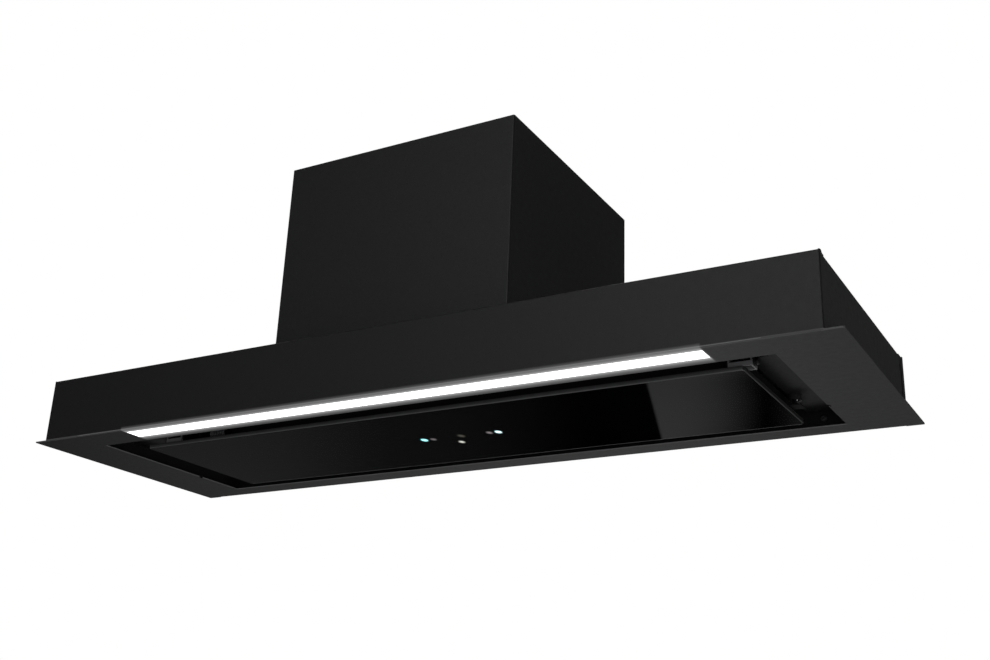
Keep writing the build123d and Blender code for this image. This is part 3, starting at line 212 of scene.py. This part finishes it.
def canopy_coat():
    """The casing's coat, with painted highlights on the opening's cut edges and the front bend, and a
    painted glow beside the light strip.
    """
    # Colour and depth of the painted highlight on the cut edges, then colour and size of the painted
    # highlight on the front bend
    cut_edge_highlight, edge_depth = (0.110, 0.110, 0.111), 1.1 * MM
    bend_highlight, bend_size = (0.046, 0.046, 0.047), 1.6 * MM
    # Strength and fall-off of the painted glow that the coat gives off beside the strip
    spill_strength, kept_per_mm, end_factor = 0.55, 0.78, 9.0
    spill_full, spill_gone = 0.5 * MM, 4.0 * MM
    coat = powder_coat("canopy_coat", black_paint, 0.52, 0.22)

    # Painted highlights: upright faces low on the sheet within the opening's width (its cut edges), and the
    # front bend, get paler colours
    turned = coat.node("ShaderNodeSeparateXYZ")
    coat.join(coat.node("ShaderNodeNewGeometry").outputs["True Normal"], turned.inputs["Vector"])
    upright = coat.maths("LESS_THAN", coat.maths("ABSOLUTE", turned.outputs["Z"]), 0.5)
    low = coat.maths("LESS_THAN", coat.axis("Z"), edge_depth)
    inner = coat.maths("LESS_THAN", coat.outside("X", 0.0, opening_half), 0.1 * MM)
    cut = coat.maths("MULTIPLY", coat.maths("MULTIPLY", upright, low), inner)
    in_front = coat.maths("LESS_THAN", coat.axis("Y"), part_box("canopy_shell")[0][1] + bend_size)
    bend = coat.maths("MULTIPLY", in_front, coat.maths("LESS_THAN", coat.axis("Z"), bend_size))
    body = coat.surface.inputs["Base Color"].links[0].from_socket
    coat.colour(coat.blend(cut, coat.blend(bend, body, bend_highlight), cut_edge_highlight))

    # Painted light: the coat itself glows beside the strip, fading within a few millimetres and above the
    # underside
    along = coat.maths("MULTIPLY", coat.outside("X", strip_middle[0], strip_half[0]), end_factor)
    across = coat.outside("Y", strip_middle[1], strip_half[1])
    distance = coat.maths("DIVIDE", coat.length(along, across), MM)
    painted_spill_glow = coat.maths("MULTIPLY", coat.maths("POWER", kept_per_mm, distance), spill_strength)
    under = coat.spread(coat.axis("Z"), 1.0, 0.0, spill_full, spill_gone)
    coat.glow((1.0, 1.0, 1.0), coat.maths("MULTIPLY", painted_spill_glow, under))
    return coat.material


def touch_light(glass, on_face):
    """The light of all the touch marks together: soft spots, longer from front to rear."""
    rear_weight = 0.7
    full, gone = 0.45, 1.35
    lit = None
    for name, place, radius, colour in touch_marks:
        across = glass.maths("SUBTRACT", glass.axis("X"), place[0] * MM)
        back = glass.maths("MULTIPLY", glass.maths("SUBTRACT", glass.axis("Y"), place[1] * MM), rear_weight)
        spot = glass.spread(glass.length(across, back), 1.0, 0.0, full * radius * MM, gone * radius * MM)
        shade = glass.node("ShaderNodeVectorMath", operation="SCALE")
        shade.label = name
        shade.inputs[0].default_value = colour
        glass.join(glass.maths("MULTIPLY", spot, on_face), shade.inputs["Scale"])
        if lit is None:
            lit = shade.outputs["Vector"]
            continue
        both = glass.node("ShaderNodeVectorMath", operation="ADD")
        glass.join(lit, both.inputs[0])
        glass.join(shade.outputs["Vector"], both.inputs[1])
        lit = both.outputs["Vector"]
    return lit


def back_painted_glass():
    """Black glass, polished on its face, with a ground bevel and a ground edge above it; the edge carries
    painted shade, darker upwards and on the short ends, and a strip of the face along the rear carries a
    painted highlight.
    """
    face = (0.0010, 0.0010, 0.0012)
    polished, ground_rough = 0.02, 0.55
    bevel_dark, bevel_light = (0.030, 0.031, 0.032), (0.046, 0.047, 0.048)
    # Painted shade on the ground edge: lighter at its foot, darker at its top, and darkest on the short ends
    shaded_edge_bottom, shaded_edge_top = (0.039, 0.040, 0.041), (0.013, 0.013, 0.014)
    shaded_short_end = (0.004, 0.004, 0.004)
    face_depth, bevel_depth, edge_start = 0.06 * MM, 0.85 * MM, 0.9 * MM
    rear_highlight_width, end_width = 1.6 * MM, 1.0 * MM
    far_x, far_y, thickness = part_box("glass_panel")[1]
    glass = Shader("black_glass", face, polished, specular=0.5)
    glass.surface.inputs["IOR"].default_value = 1.5

    height = glass.axis("Z")
    above_face = glass.maths("GREATER_THAN", height, face_depth)
    # Painted highlight: the rear strip of the polished face takes the ground colour and roughness, a light
    # line along the rear arris
    rear_highlight_strip = glass.maths("GREATER_THAN", glass.axis("Y"), far_y - rear_highlight_width)
    ground_and_rear_highlight = glass.maths("MAXIMUM", above_face, rear_highlight_strip)
    bevel = glass.blend(glass.noise(0.5 * MM, detail=1.0), bevel_dark, bevel_light)
    # Painted shade: the ground edge darkens from its foot to its top, and the short ends above the face are
    # darker still
    edge = glass.blend(glass.spread(height, 0.0, 1.0, edge_start, thickness), shaded_edge_bottom, shaded_edge_top)
    ground = glass.blend(glass.maths("GREATER_THAN", height, bevel_depth), bevel, edge)
    short_side = glass.maths("GREATER_THAN", glass.outside("X", 0.0, far_x - end_width), 0.0)
    ground = glass.blend(glass.maths("MULTIPLY", short_side, above_face), ground, shaded_short_end)
    glass.colour(glass.blend(ground_and_rear_highlight, face, ground))
    glass.rough(glass.spread(ground_and_rear_highlight, polished, ground_rough))

    on_face = glass.maths("SUBTRACT", 1.0, above_face)
    glass.join(touch_light(glass, on_face), glass.surface.inputs["Emission Color"])
    glass.surface.inputs["Emission Strength"].default_value = 1.0
    return glass.material


def lit_opal():
    """The light strip's cover: it glows evenly, a little less at its ends."""
    strength, end_share, end_length = 2.2, 0.93, 20.0 * MM
    opal = Shader("lit_opal", (0.9, 0.9, 0.9), 0.5)
    along = opal.maths("ABSOLUTE", opal.maths("SUBTRACT", opal.axis("X"), strip_middle[0]))
    ends = opal.spread(along, 1.0, end_share, strip_half[0] - end_length, strip_half[0])
    opal.glow((1.0, 1.0, 1.0), opal.maths("MULTIPLY", ends, strength))
    return opal.material


def plated_steel(name, colour, roughness, metallic=1.0):
    """Rolled or plated metal: fine streaks under a faint cloud."""
    steel = Shader(name, colour, roughness, metallic=metallic)
    streak = steel.noise(0.4 * MM, detail=3.0, stretch=(1.0, 1.0, 0.25))
    cloud = steel.noise(9.0 * MM, detail=2.0)
    darker = tuple(c * 0.8 for c in colour)
    steel.colour(steel.blend(cloud, darker, colour))
    steel.rough(steel.spread(streak, roughness - 0.06, roughness + 0.08, 0.3, 0.7))
    steel.bump(streak, 0.02 * MM, 0.5)
    return steel.material


def spangled_zinc():
    """Galvanised sheet, whose flakes differ in tone and in gloss."""
    zinc = Shader("galvanised_steel", (0.52, 0.53, 0.54), 0.38, metallic=1.0)
    flakes = zinc.cells(7.0 * MM)
    tone = zinc.node("ShaderNodeSeparateColor")
    zinc.join(flakes.outputs["Color"], tone.inputs["Color"])
    zinc.colour(zinc.blend(tone.outputs["Red"], (0.40, 0.41, 0.43), (0.60, 0.61, 0.62)))
    zinc.rough(zinc.spread(tone.outputs["Green"], 0.28, 0.46))
    return zinc.material


def moulded(name, colour, roughness, specular=0.4):
    """Moulded plastic with a fine spark-eroded grain."""
    plastic = Shader(name, colour, roughness, specular=specular)
    grain = plastic.noise(0.9 * MM, detail=2.0)
    cloud = plastic.noise(25.0 * MM, detail=2.0)
    light = tuple(min(1.0, c * 1.25 + 0.002) for c in colour)
    plastic.colour(plastic.blend(cloud, colour, light))
    plastic.rough(plastic.spread(grain, roughness - 0.07, roughness + 0.07, 0.3, 0.7))
    plastic.bump(grain, 0.05 * MM, 0.5)
    return plastic.material


def solder_masked():
    """Green solder mask with raised, lighter tracks."""
    board = Shader("circuit_board", (0.012, 0.09, 0.04), 0.35)
    tracks = board.cells(4.0 * MM, feature="DISTANCE_TO_EDGE")
    copper = board.spread(tracks.outputs["Distance"], 1.0, 0.0, 0.03, 0.06)
    board.colour(board.blend(copper, (0.010, 0.075, 0.03), (0.03, 0.16, 0.07)))
    board.bump(copper, 0.04 * MM, 0.6)
    return board.material


def plain_board():
    """White mask of the board that carries the light strip's chips."""
    board = Shader("led_board", (0.78, 0.78, 0.76), 0.4)
    grain = board.noise(1.2 * MM)
    board.colour(board.blend(grain, (0.72, 0.72, 0.70), (0.84, 0.84, 0.82)))
    return board.material


def phosphor():
    """Yellow phosphor of the chips, which glow a little behind the cover."""
    chip = Shader("led_chip", (0.85, 0.72, 0.25), 0.4)
    grain = chip.noise(0.6 * MM)
    chip.colour(chip.blend(grain, (0.80, 0.66, 0.20), (0.90, 0.78, 0.32)))
    chip.surface.inputs["Emission Color"].default_value = (1.0, 0.95, 0.8, 1.0)
    chip.surface.inputs["Emission Strength"].default_value = 0.6
    return chip.material


finish = {
    "black_powder_coat": powder_coat("black_powder_coat", black_paint, 0.52, 0.22).material,
    "black_liner": powder_coat("black_liner", (0.0060, 0.0060, 0.0063), 0.58, 0.12).material,
    "black_glass": back_painted_glass(),
    "adhesive_tape": moulded("adhesive_tape", (0.012, 0.012, 0.012), 0.7, 0.2),
    "bright_steel": plated_steel("bright_steel", (0.66, 0.66, 0.67), 0.26),
    "spring_steel": plated_steel("spring_steel", (0.42, 0.42, 0.44), 0.30),
    "filter_aluminium": plated_steel("filter_aluminium", (0.72, 0.73, 0.74), 0.36),
    "led_aluminium": plated_steel("led_aluminium", (0.70, 0.70, 0.72), 0.40),
    "led_board": plain_board(),
    "led_chip": phosphor(),
    "led_opal": lit_opal(),
    "circuit_board": solder_masked(),
    "black_plastic": moulded("black_plastic", (0.014, 0.014, 0.015), 0.46),
    "blower_plastic": moulded("blower_plastic", (0.030, 0.031, 0.033), 0.42),
    "galvanised_steel": spangled_zinc(),
    "capacitor_can": moulded("capacitor_can", (0.62, 0.62, 0.60), 0.38),
    "rubber_bush": moulded("rubber_bush", (0.016, 0.016, 0.016), 0.75, 0.2),
}

own_finish = {
    "canopy_shell": canopy_coat(),
    "hinge_leaf_left": plated_steel("hinge_zinc", (0.115, 0.115, 0.12), 0.60, metallic=0.15),
    "hinge_pins": plated_steel("dark_zinc", (0.030, 0.030, 0.032), 0.60),
    "hinge_spring": plated_steel("coil_zinc", (0.24, 0.24, 0.25), 0.30, metallic=0.75),
    "catch_studs": plated_steel("stud_steel", (0.22, 0.22, 0.23), 0.34),
    "duct_screws": plated_steel("black_zinc", (0.03, 0.03, 0.033), 0.38, metallic=0.6),
    "panel_tray": moulded("tray_black", (0.0068, 0.0068, 0.0071), 0.75, 0.03),
}
own_finish["hinge_leaf_right"] = own_finish["hinge_leaf_left"]

for part in frame["record"]["subparts"]:
    mesh = nodes[part["node"]].data
    mesh.materials.clear()
    mesh.materials.append(own_finish.get(part["node"], finish[part["material_slot"]]))


# Repeated pieces made by node trees

class Pattern:
    """A geometry node tree with named inputs, and short calls that add and join its nodes."""

    def __init__(self, name, **sizes):
        self.group = bpy.data.node_groups.new(name, "GeometryNodeTree")
        self.sockets = {}
        self.group.interface.new_socket("Geometry", in_out="INPUT", socket_type="NodeSocketGeometry")
        for label, value in sizes.items():
            kind = {int: "NodeSocketInt", float: "NodeSocketFloat", tuple: "NodeSocketVector"}[type(value)]
            socket = self.group.interface.new_socket(label, in_out="INPUT", socket_type=kind)
            socket.default_value = value
            self.sockets[label] = socket.identifier
        self.group.interface.new_socket("Geometry", in_out="OUTPUT", socket_type="NodeSocketGeometry")
        self.given = self.group.nodes.new("NodeGroupInput").outputs
        self.result = self.group.nodes.new("NodeGroupOutput").inputs["Geometry"]

    def add(self, kind, inputs=None, **settings):
        """Adds a node, sets it, and feeds its inputs with sockets or values."""
        node = self.group.nodes.new(kind)
        for key, value in settings.items():
            setattr(node, key, value)
        for key, value in (inputs or {}).items():
            if isinstance(value, bpy.types.NodeSocket):
                self.group.links.new(value, node.inputs[key])
            else:
                node.inputs[key].default_value = value
        return node

    def maths(self, operation, first, second=0.0):
        return self.add("ShaderNodeMath", {0: first, 1: second}, operation=operation).outputs["Value"]

    def vector(self, x=0.0, y=0.0, z=0.0):
        return self.add("ShaderNodeCombineXYZ", {"X": x, "Y": y, "Z": z}).outputs["Vector"]

    def moved(self, geometry, place):
        inputs = {"Geometry": geometry, "Translation": place}
        return self.add("GeometryNodeTransform", inputs).outputs["Geometry"]

    def gather(self, *pieces):
        joined = self.group.nodes.new("GeometryNodeJoinGeometry")
        for piece in reversed(pieces):
            self.group.links.new(piece, joined.inputs["Geometry"])
        return joined.outputs["Geometry"]

    def close(self, geometry, material):
        real = self.add("GeometryNodeRealizeInstances", {"Geometry": geometry}).outputs["Geometry"]
        dressed = self.add("GeometryNodeSetMaterial", {"Geometry": real})
        dressed.inputs["Material"].default_value = material
        self.group.links.new(dressed.outputs["Geometry"], self.result)

    def make(self, name, start, body, slot, **values):
        """Runs the tree on a start mesh and keeps the result as one plain mesh that rides a body."""
        seed = bpy.data.objects.new(name + "_seats", start)
        bpy.context.scene.collection.objects.link(seed)
        modifier = seed.modifiers.new(name, "NODES")
        modifier.node_group = self.group
        for label, value in values.items():
            modifier[self.sockets[label]] = value
        evaluated = seed.evaluated_get(bpy.context.evaluated_depsgraph_get())
        mesh = bpy.data.meshes.new_from_object(evaluated)
        mesh.name = name
        seed.modifiers.remove(modifier)
        bpy.data.objects.remove(seed)
        outward = bmesh.new()
        outward.from_mesh(mesh)
        bmesh.ops.recalc_face_normals(outward, faces=outward.faces)
        outward.to_mesh(mesh)
        outward.free()
        piece = bpy.data.objects.new(name, mesh)
        bpy.context.scene.collection.objects.link(piece)
        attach(piece, body)


def screw_pattern(material):
    """Pan-head screws with a cross recess, one on each seat, each turned by chance."""
    facets, arms, arm_depth, quarter_turn = 16, 4.0, 0.38, 1.57
    shoulder_share, foot_share, recess_reach = 0.76, 0.72, 1.1
    sizes = {"head_radius": 3.0 * MM, "head_height": 1.8 * MM, "recess_radius": 1.25 * MM, "seed": 11}
    tree = Pattern("pan_head_screws", **sizes)
    radius, height, recess = (tree.given[label] for label in ("head_radius", "head_height", "recess_radius"))
    shoulder = tree.maths("MULTIPLY", radius, shoulder_share)
    foot = tree.maths("MULTIPLY", recess, foot_share)

    def level(share):
        return tree.vector(z=tree.maths("MULTIPLY", height, share))

    def band(low_radius, high_radius, low, high):
        """A ring of the head between two heights, given as shares of the head's height."""
        depth = tree.maths("MULTIPLY", height, high - low)
        cone = {"Vertices": facets, "Radius Top": high_radius, "Radius Bottom": low_radius, "Depth": depth}
        ring = tree.add("GeometryNodeMeshCone", cone, fill_type="NONE").outputs["Mesh"]
        return tree.moved(ring, level(low))

    def disc(disc_radius, share):
        circle = {"Vertices": facets, "Radius": disc_radius}
        flat = tree.add("GeometryNodeMeshCircle", circle, fill_type="NGON").outputs["Mesh"]
        return tree.moved(flat, level(share))

    head = tree.gather(
        disc(radius, -0.1), band(radius, radius, -0.1, 0.4), band(radius, shoulder, 0.4, 0.9),
        band(shoulder, recess, 0.9, 1.0), band(foot, recess, 0.3, 1.0), disc(foot, 0.3),
    )
    doubles = {"Geometry": head, "Distance": 0.01 * MM}
    sewn = tree.add("GeometryNodeMergeByDistance", doubles).outputs["Geometry"]

    position = tree.add("GeometryNodeInputPosition").outputs["Position"]
    here = tree.add("ShaderNodeSeparateXYZ", {"Vector": position}).outputs
    turn = tree.maths("MULTIPLY", tree.maths("ARCTAN2", here["Y"], here["X"]), arms)
    lobe = tree.maths("MULTIPLY", tree.maths("COSINE", turn), arm_depth)
    squares = [tree.maths("MULTIPLY", here[axis], here[axis]) for axis in ("X", "Y")]
    across = tree.maths("SQRT", tree.maths("ADD", *squares))
    in_recess = tree.maths("LESS_THAN", across, tree.maths("MULTIPLY", recess, recess_reach))
    push = tree.vector(x=tree.maths("MULTIPLY", here["X"], lobe), y=tree.maths("MULTIPLY", here["Y"], lobe))
    crossing = {"Geometry": sewn, "Selection": in_recess, "Offset": push}
    crossed = tree.add("GeometryNodeSetPosition", crossing).outputs["Geometry"]

    facing = tree.add("GeometryNodeInputNamedAttribute", {"Name": "facing"}, data_type="FLOAT_VECTOR")
    way = {"Vector": facing.outputs["Attribute"]}
    lean = tree.add("FunctionNodeAlignRotationToVector", way, axis="Z").outputs["Rotation"]
    seats = {"Points": tree.given["Geometry"], "Instance": crossed, "Rotation": lean}
    screws = tree.add("GeometryNodeInstanceOnPoints", seats).outputs["Instances"]
    bounds = {"Min": 0.0, "Max": quarter_turn, "Seed": tree.given["seed"]}
    chance = tree.add("FunctionNodeRandomValue", bounds, data_type="FLOAT")
    amount = next(s for s in chance.outputs if s.type == "VALUE" and s.enabled)
    turned = {"Instances": screws, "Rotation": tree.vector(z=amount), "Local Space": True}
    tree.close(tree.add("GeometryNodeRotateInstances", turned).outputs["Instances"], material)
    return tree


def surface_tree(node_name):
    """A node's faces, ready for rays."""
    shape = bmesh.new()
    shape.from_mesh(nodes[node_name].data)
    found = BVHTree.FromBMesh(shape)
    shape.free()
    return found


def seats_on(rows):
    """A mesh of loose points where rays meet the named nodes, each with the way its screw faces."""
    ray_reach, squareness = 0.2, 0.9
    places, ways = [], []
    for node_name, starts, direction in rows:
        surface = surface_tree(node_name)
        for start in starts:
            hit, normal = surface.ray_cast(Vector(start) * MM, Vector(direction), ray_reach)[:2]
            if hit is None or abs(normal.dot(Vector(direction))) < squareness:
                raise RuntimeError(f"no flat seat on {node_name} from {start}")
            places.append(hit)
            ways.append(-Vector(direction))
    mesh = bpy.data.meshes.new("seats")
    mesh.from_pydata(places, [], [])
    attribute = mesh.attributes.new("facing", "FLOAT_VECTOR", "POINT")
    for entry, way in zip(attribute.data, ways):
        entry.vector = way
    return mesh


def pairs(firsts, seconds):
    return [(first, second) for first in firsts for second in seconds]


def make_screws():
    """Screws of the cover, tower, liner and panel, each at the end of a ray. Starts are in millimetres."""
    up, down, forward, rearward = (0, 0, 1), (0, 0, -1), (0, -1, 0), (0, 1, 0)
    over_cover, over_tower, behind_tower, over_panel = 90, 290, 160, 40
    by_rear_wall, by_front_wall = (90, 10), (-96, 20)
    cover = pairs((-385, 385), (-120, 120)) + pairs((-200, 200), (-126, 126))
    lid = pairs((-122, 122), (-105, 15, 124)) + pairs((-20, 60), (-105,))
    back = pairs((-120, 120), (85, 128, 171, 214, 256)) + pairs((-40, 40), (256,))
    panel = pairs((-200, 0, 200), (-50, 84))
    hood_rows = [
        ("top_cover", [(x, y, over_cover) for x, y in cover], down),
        ("tower_top", [(x, y, over_tower) for x, y in lid], down),
        ("inner_liner", [(x, *by_rear_wall) for x in (-343, 343)], rearward),
        ("inner_liner", [(x, *by_front_wall) for x in (-250, 0, 250)], up),
    ]
    back_rows = [("tower_back", [(x, behind_tower, z) for x, z in back], forward)]
    door_rows = [("panel_back", [(x, y, over_panel) for x, y in panel], down)]
    flat = {"head_radius": 3.4 * MM, "head_height": 0.9 * MM}
    small = {"head_radius": 2.4 * MM, "head_height": 1.4 * MM}
    pattern = screw_pattern(plated_steel("black_zinc_screws", (0.05, 0.05, 0.055), 0.38, metallic=0.6))
    pattern.make("hood_screws", seats_on(hood_rows), "hood", "black_powder_coat")
    pattern.make("tower_back_screws", seats_on(back_rows), "hood", "black_powder_coat", **flat)
    pattern.make("panel_back_screws", seats_on(door_rows), "glass_door", "black_powder_coat", **small)


def expanded_metal(material):
    """A sheet of diamonds: zigzag strands side by side, every other one the other way up."""
    tree = Pattern(
        "expanded_metal", middle=(0.0, 0.0, 0.0), columns=22, rows=27, diamond_length=11.0 * MM,
        diamond_width=6.0 * MM, strand_width=1.0 * MM, strand_thickness=0.6 * MM,
    )
    given = tree.given
    length, width = given["diamond_length"], given["diamond_width"]
    half_step = tree.maths("MULTIPLY", length, 0.5)
    points = tree.maths("ADD", tree.maths("MULTIPLY", given["columns"], 2), 1)
    left = tree.maths("MULTIPLY", tree.maths("MULTIPLY", given["columns"], length), -0.5)
    front = tree.maths("MULTIPLY", tree.maths("MULTIPLY", given["rows"], width), -0.5)
    quarter = tree.maths("MULTIPLY", width, 0.25)
    odd = tree.maths("MODULO", tree.add("GeometryNodeInputIndex").outputs["Index"], 2.0)
    swing = tree.maths("MULTIPLY", tree.maths("SUBTRACT", tree.maths("MULTIPLY", odd, 2.0), 1.0), quarter)

    def strands(direction, shift):
        """One zigzag for each row, swung one way and set over by a share of a diamond's width."""
        line = {"Count": points, "Start Location": tree.vector(x=left), "Offset": tree.vector(x=half_step)}
        straight = tree.add("GeometryNodeMeshLine", line).outputs["Mesh"]
        bent = {"Geometry": straight, "Offset": tree.vector(y=tree.maths("MULTIPLY", swing, direction))}
        zigzag = tree.add("GeometryNodeSetPosition", bent).outputs["Geometry"]
        curve = tree.add("GeometryNodeMeshToCurve", {"Mesh": zigzag}).outputs["Curve"]
        start = tree.vector(y=tree.maths("ADD", front, tree.maths("MULTIPLY", width, shift)))
        rows = {"Count": given["rows"], "Start Location": start, "Offset": tree.vector(y=width)}
        seats = {"Points": tree.add("GeometryNodeMeshLine", rows).outputs["Mesh"], "Instance": curve}
        placed = tree.add("GeometryNodeInstanceOnPoints", seats).outputs["Instances"]
        return tree.add("GeometryNodeRealizeInstances", {"Geometry": placed}).outputs["Geometry"]

    sheet = tree.gather(strands(1.0, 0.25), strands(-1.0, 0.75))
    section = {"Width": given["strand_width"], "Height": given["strand_thickness"]}
    profile = tree.add("GeometryNodeCurvePrimitiveQuadrilateral", section).outputs["Curve"]
    sweep = {"Curve": sheet, "Profile Curve": profile, "Fill Caps": True}
    solid = tree.add("GeometryNodeCurveToMesh", sweep).outputs["Mesh"]
    tree.close(tree.moved(solid, given["middle"]), material)
    return tree


def make_filter_faces():
    """The expanded metal that is seen in each filter's frame, just under its mesh pack."""
    under_pack = 0.35 * MM
    strands = expanded_metal(finish["filter_aluminium"])
    for side in ("left", "right"):
        low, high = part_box("filter_frame_" + side)
        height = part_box("filter_mesh_" + side)[0][2] - under_pack
        middle = ((low[0] + high[0]) / 2, (low[1] + high[1]) / 2, height)
        body = "filter_" + side
        empty = bpy.data.meshes.new(body + "_start")
        strands.make(body + "_face", empty, body, "filter_aluminium", middle=middle)


def make_filter_leaves():
    """The bowed springs behind the filters, as copies of their meshes that ride the hood."""
    for side in ("left", "right"):
        node = nodes["filter_spring_" + side]
        leaf = bpy.data.objects.new("filter_leaf_" + side, node.data.copy())
        bpy.context.scene.collection.objects.link(leaf)
        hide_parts(node.name)
        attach(leaf, "hood")
        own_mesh(leaf)


make_screws()
make_filter_faces()
make_filter_leaves()


# Stage

floor_drop = 2.2
floor_half = 9.0

lamps = [
    # name, where it stands, width and height, watts; all aim at the hood
    ("key_right_front", (1.6, -2.3, -0.5), (1.4, 1.2), 18.0),
    ("fill_left_front", (-2.0, -2.0, 0.4), (1.6, 1.6), 15.0),
    ("rim_above", (0.0, 0.6, 2.6), (2.0, 2.0), 30.0),
    ("rear_fill", (1.2, 2.6, 0.5), (1.8, 1.8), 18.0),
]
lamp_aim = Vector((0.0, 0.0, 0.1))


def pale_floor():
    """Matt floor paint with a faint cloud in it."""
    colour = (0.82, 0.82, 0.82)
    paint = Shader("pale_floor", colour, 0.9, specular=0.1)
    cloud = paint.noise(0.4, detail=1.0)
    paint.colour(paint.blend(cloud, tuple(c * 0.97 for c in colour), colour))
    return paint.material


def make_floor():
    mesh = bpy.data.meshes.new("floor")
    signs = ((-1, -1), (1, -1), (1, 1), (-1, 1))
    mesh.from_pydata([(x * floor_half, y * floor_half, -floor_drop) for x, y in signs], [], [(0, 1, 2, 3)])
    mesh.materials.append(pale_floor())
    floor = bpy.data.objects.new("floor", mesh)
    bpy.context.scene.collection.objects.link(floor)


def make_world():
    """White for the camera, gloss and see-through rays, and a weaker white that lights the hood."""
    seen_strength, light_strength = 1.0, 0.68
    world = bpy.data.worlds.new("studio")
    bpy.context.scene.world = world
    world.use_nodes = True
    tree = world.node_tree
    tree.nodes.clear()
    path = tree.nodes.new("ShaderNodeLightPath").outputs
    seen = path["Is Camera Ray"]
    for ray in ("Is Glossy Ray", "Is Transmission Ray"):
        either = tree.nodes.new("ShaderNodeMath")
        either.operation = "MAXIMUM"
        tree.links.new(seen, either.inputs[0])
        tree.links.new(path[ray], either.inputs[1])
        seen = either.outputs["Value"]
    mix = tree.nodes.new("ShaderNodeMixShader")
    tree.links.new(seen, mix.inputs["Fac"])
    for entry, strength in ((1, light_strength), (2, seen_strength)):
        shade = tree.nodes.new("ShaderNodeBackground")
        shade.inputs["Color"].default_value = (1.0, 1.0, 1.0, 1.0)
        shade.inputs["Strength"].default_value = strength
        tree.links.new(shade.outputs["Background"], mix.inputs[entry])
    output = tree.nodes.new("ShaderNodeOutputWorld")
    tree.links.new(mix.outputs["Shader"], output.inputs["Surface"])


def make_lamps():
    for name, place, (width, height), watts in lamps:
        data = bpy.data.lights.new(name, "AREA")
        data.shape = "RECTANGLE"
        data.size, data.size_y = width, height
        data.energy = watts
        lamp = bpy.data.objects.new(name, data)
        lamp.location = place
        lamp.rotation_euler = (lamp_aim - Vector(place)).to_track_quat("-Z", "Y").to_euler()
        lamp.visible_glossy = False
        bpy.context.scene.collection.objects.link(lamp)


# The studio round the hood as its gloss sees it: black, with soft boxes and one card with a straight edge.
# Only reflections see it, so the paint and the glass mirror it while the background stays white.
surround_radius = 2.0

soft_boxes = [
    # name, way to its middle, angles from there in degrees at which it is full and gone, strength
    ("front_right", (0.10, -0.91, 0.40), 4.0, 22.0, 4.0),
    ("front_left", (-0.18, -0.90, 0.40), 4.0, 22.0, 0.85),
    ("under_right", (0.75, 0.20, -0.62), 12.0, 34.0, 1.9),
    ("under_rear", (-0.15, 0.74, -0.66), 4.0, 22.0, 1.25),
    ("under_left", (-0.60, 0.50, -0.62), 4.0, 22.0, 0.40),
    ("under_middle", (-0.40, 0.64, -0.66), 4.0, 22.0, 1.10),
    ("right_side", (0.80, 0.55, 0.25), 4.0, 22.0, 0.45),
    ("rear_right", (0.24, 0.93, -0.28), 4.0, 22.0, 0.22),
    ("front_low", (0.25, -0.80, -0.55), 30.0, 60.0, 0.10),
    ("under_front", (-0.10, -0.35, -0.93), 8.0, 28.0, 0.60),
    ("above_rear", (-0.25, 0.40, 0.88), 8.0, 36.0, 2.00),
    ("glass_left", (-0.83, 0.52, -0.20), 4.0, 22.0, 0.031),
    ("glass_middle", (-0.66, 0.70, -0.22), 4.0, 22.0, 0.016),
]
card = ("glass_card", (-0.29, 0.90, -0.31), 0.0, 9.6, 0.120)
card_edge = (-0.55, 1.80, -0.67), (-0.53, 1.85, -0.53)


def direction_to(place):
    return Vector(place).normalized()


def soft_box(studio, bearing, name, middle, full, gone, strength):
    """Glow round one direction: full near its middle, and gone past its edge."""
    facing = studio.node("ShaderNodeVectorMath", operation="DOT_PRODUCT")
    facing.label = name
    studio.join(bearing, facing.inputs[0])
    facing.inputs[1].default_value = direction_to(middle)
    glow = studio.node("ShaderNodeMapRange", interpolation_type="SMOOTHSTEP")
    glow.inputs["From Min"].default_value = math.cos(math.radians(gone))
    glow.inputs["From Max"].default_value = math.cos(math.radians(full))
    glow.inputs["To Max"].default_value = strength
    studio.join(facing.outputs["Value"], glow.inputs["Value"])
    return glow.outputs["Result"]


def right_of_edge(studio, bearing, lower, upper):
    """1 on the right of the plane through the middle and the two given points, 0 on its left."""
    softness = 0.002
    side = studio.node("ShaderNodeVectorMath", operation="DOT_PRODUCT")
    studio.join(bearing, side.inputs[0])
    side.inputs[1].default_value = direction_to(lower).cross(direction_to(upper)).normalized()
    return studio.spread(side.outputs["Value"], 0.0, 1.0, -softness, softness)


def make_surround():
    studio = Shader("studio_surround", (0.0, 0.0, 0.0), 1.0, specular=0.0)
    normal = studio.node("ShaderNodeVectorMath", operation="NORMALIZE")
    studio.join(studio.place, normal.inputs[0])
    bearing = normal.outputs["Vector"]
    cut_card = right_of_edge(studio, bearing, *card_edge)
    total = studio.maths("MULTIPLY", soft_box(studio, bearing, *card), cut_card)
    for box in soft_boxes:
        total = studio.maths("ADD", total, soft_box(studio, bearing, *box))
    studio.glow((1.0, 1.0, 1.0), total)
    ball = bmesh.new()
    bmesh.ops.create_uvsphere(ball, u_segments=64, v_segments=32, radius=surround_radius)
    mesh = bpy.data.meshes.new("studio_surround")
    ball.to_mesh(mesh)
    ball.free()
    mesh.materials.append(studio.material)
    surround = bpy.data.objects.new("studio_surround", mesh)
    for kind in ("camera", "diffuse", "shadow", "transmission"):
        setattr(surround, "visible_" + kind, False)
    bpy.context.scene.collection.objects.link(surround)


def make_camera():
    """The photograph's camera: below the hood, to its right, looking up."""
    data = bpy.data.cameras.new("photo_camera")
    data.sensor_width = 36.0
    data.lens = 45.378
    data.shift_x = -0.0015
    data.shift_y = -0.0063
    data.clip_start, data.clip_end = 0.02, 50.0
    camera = bpy.data.objects.new("photo_camera", data)
    camera.location = (0.641721, -1.008787, -0.334814)
    camera.rotation_euler = [math.radians(a) for a in (110.8143, -2.1378, 29.5181)]
    bpy.context.scene.collection.objects.link(camera)
    bpy.context.scene.camera = camera


make_floor()
make_world()
make_lamps()
make_surround()
make_camera()
bpy.context.scene.view_settings.view_transform = "Standard"
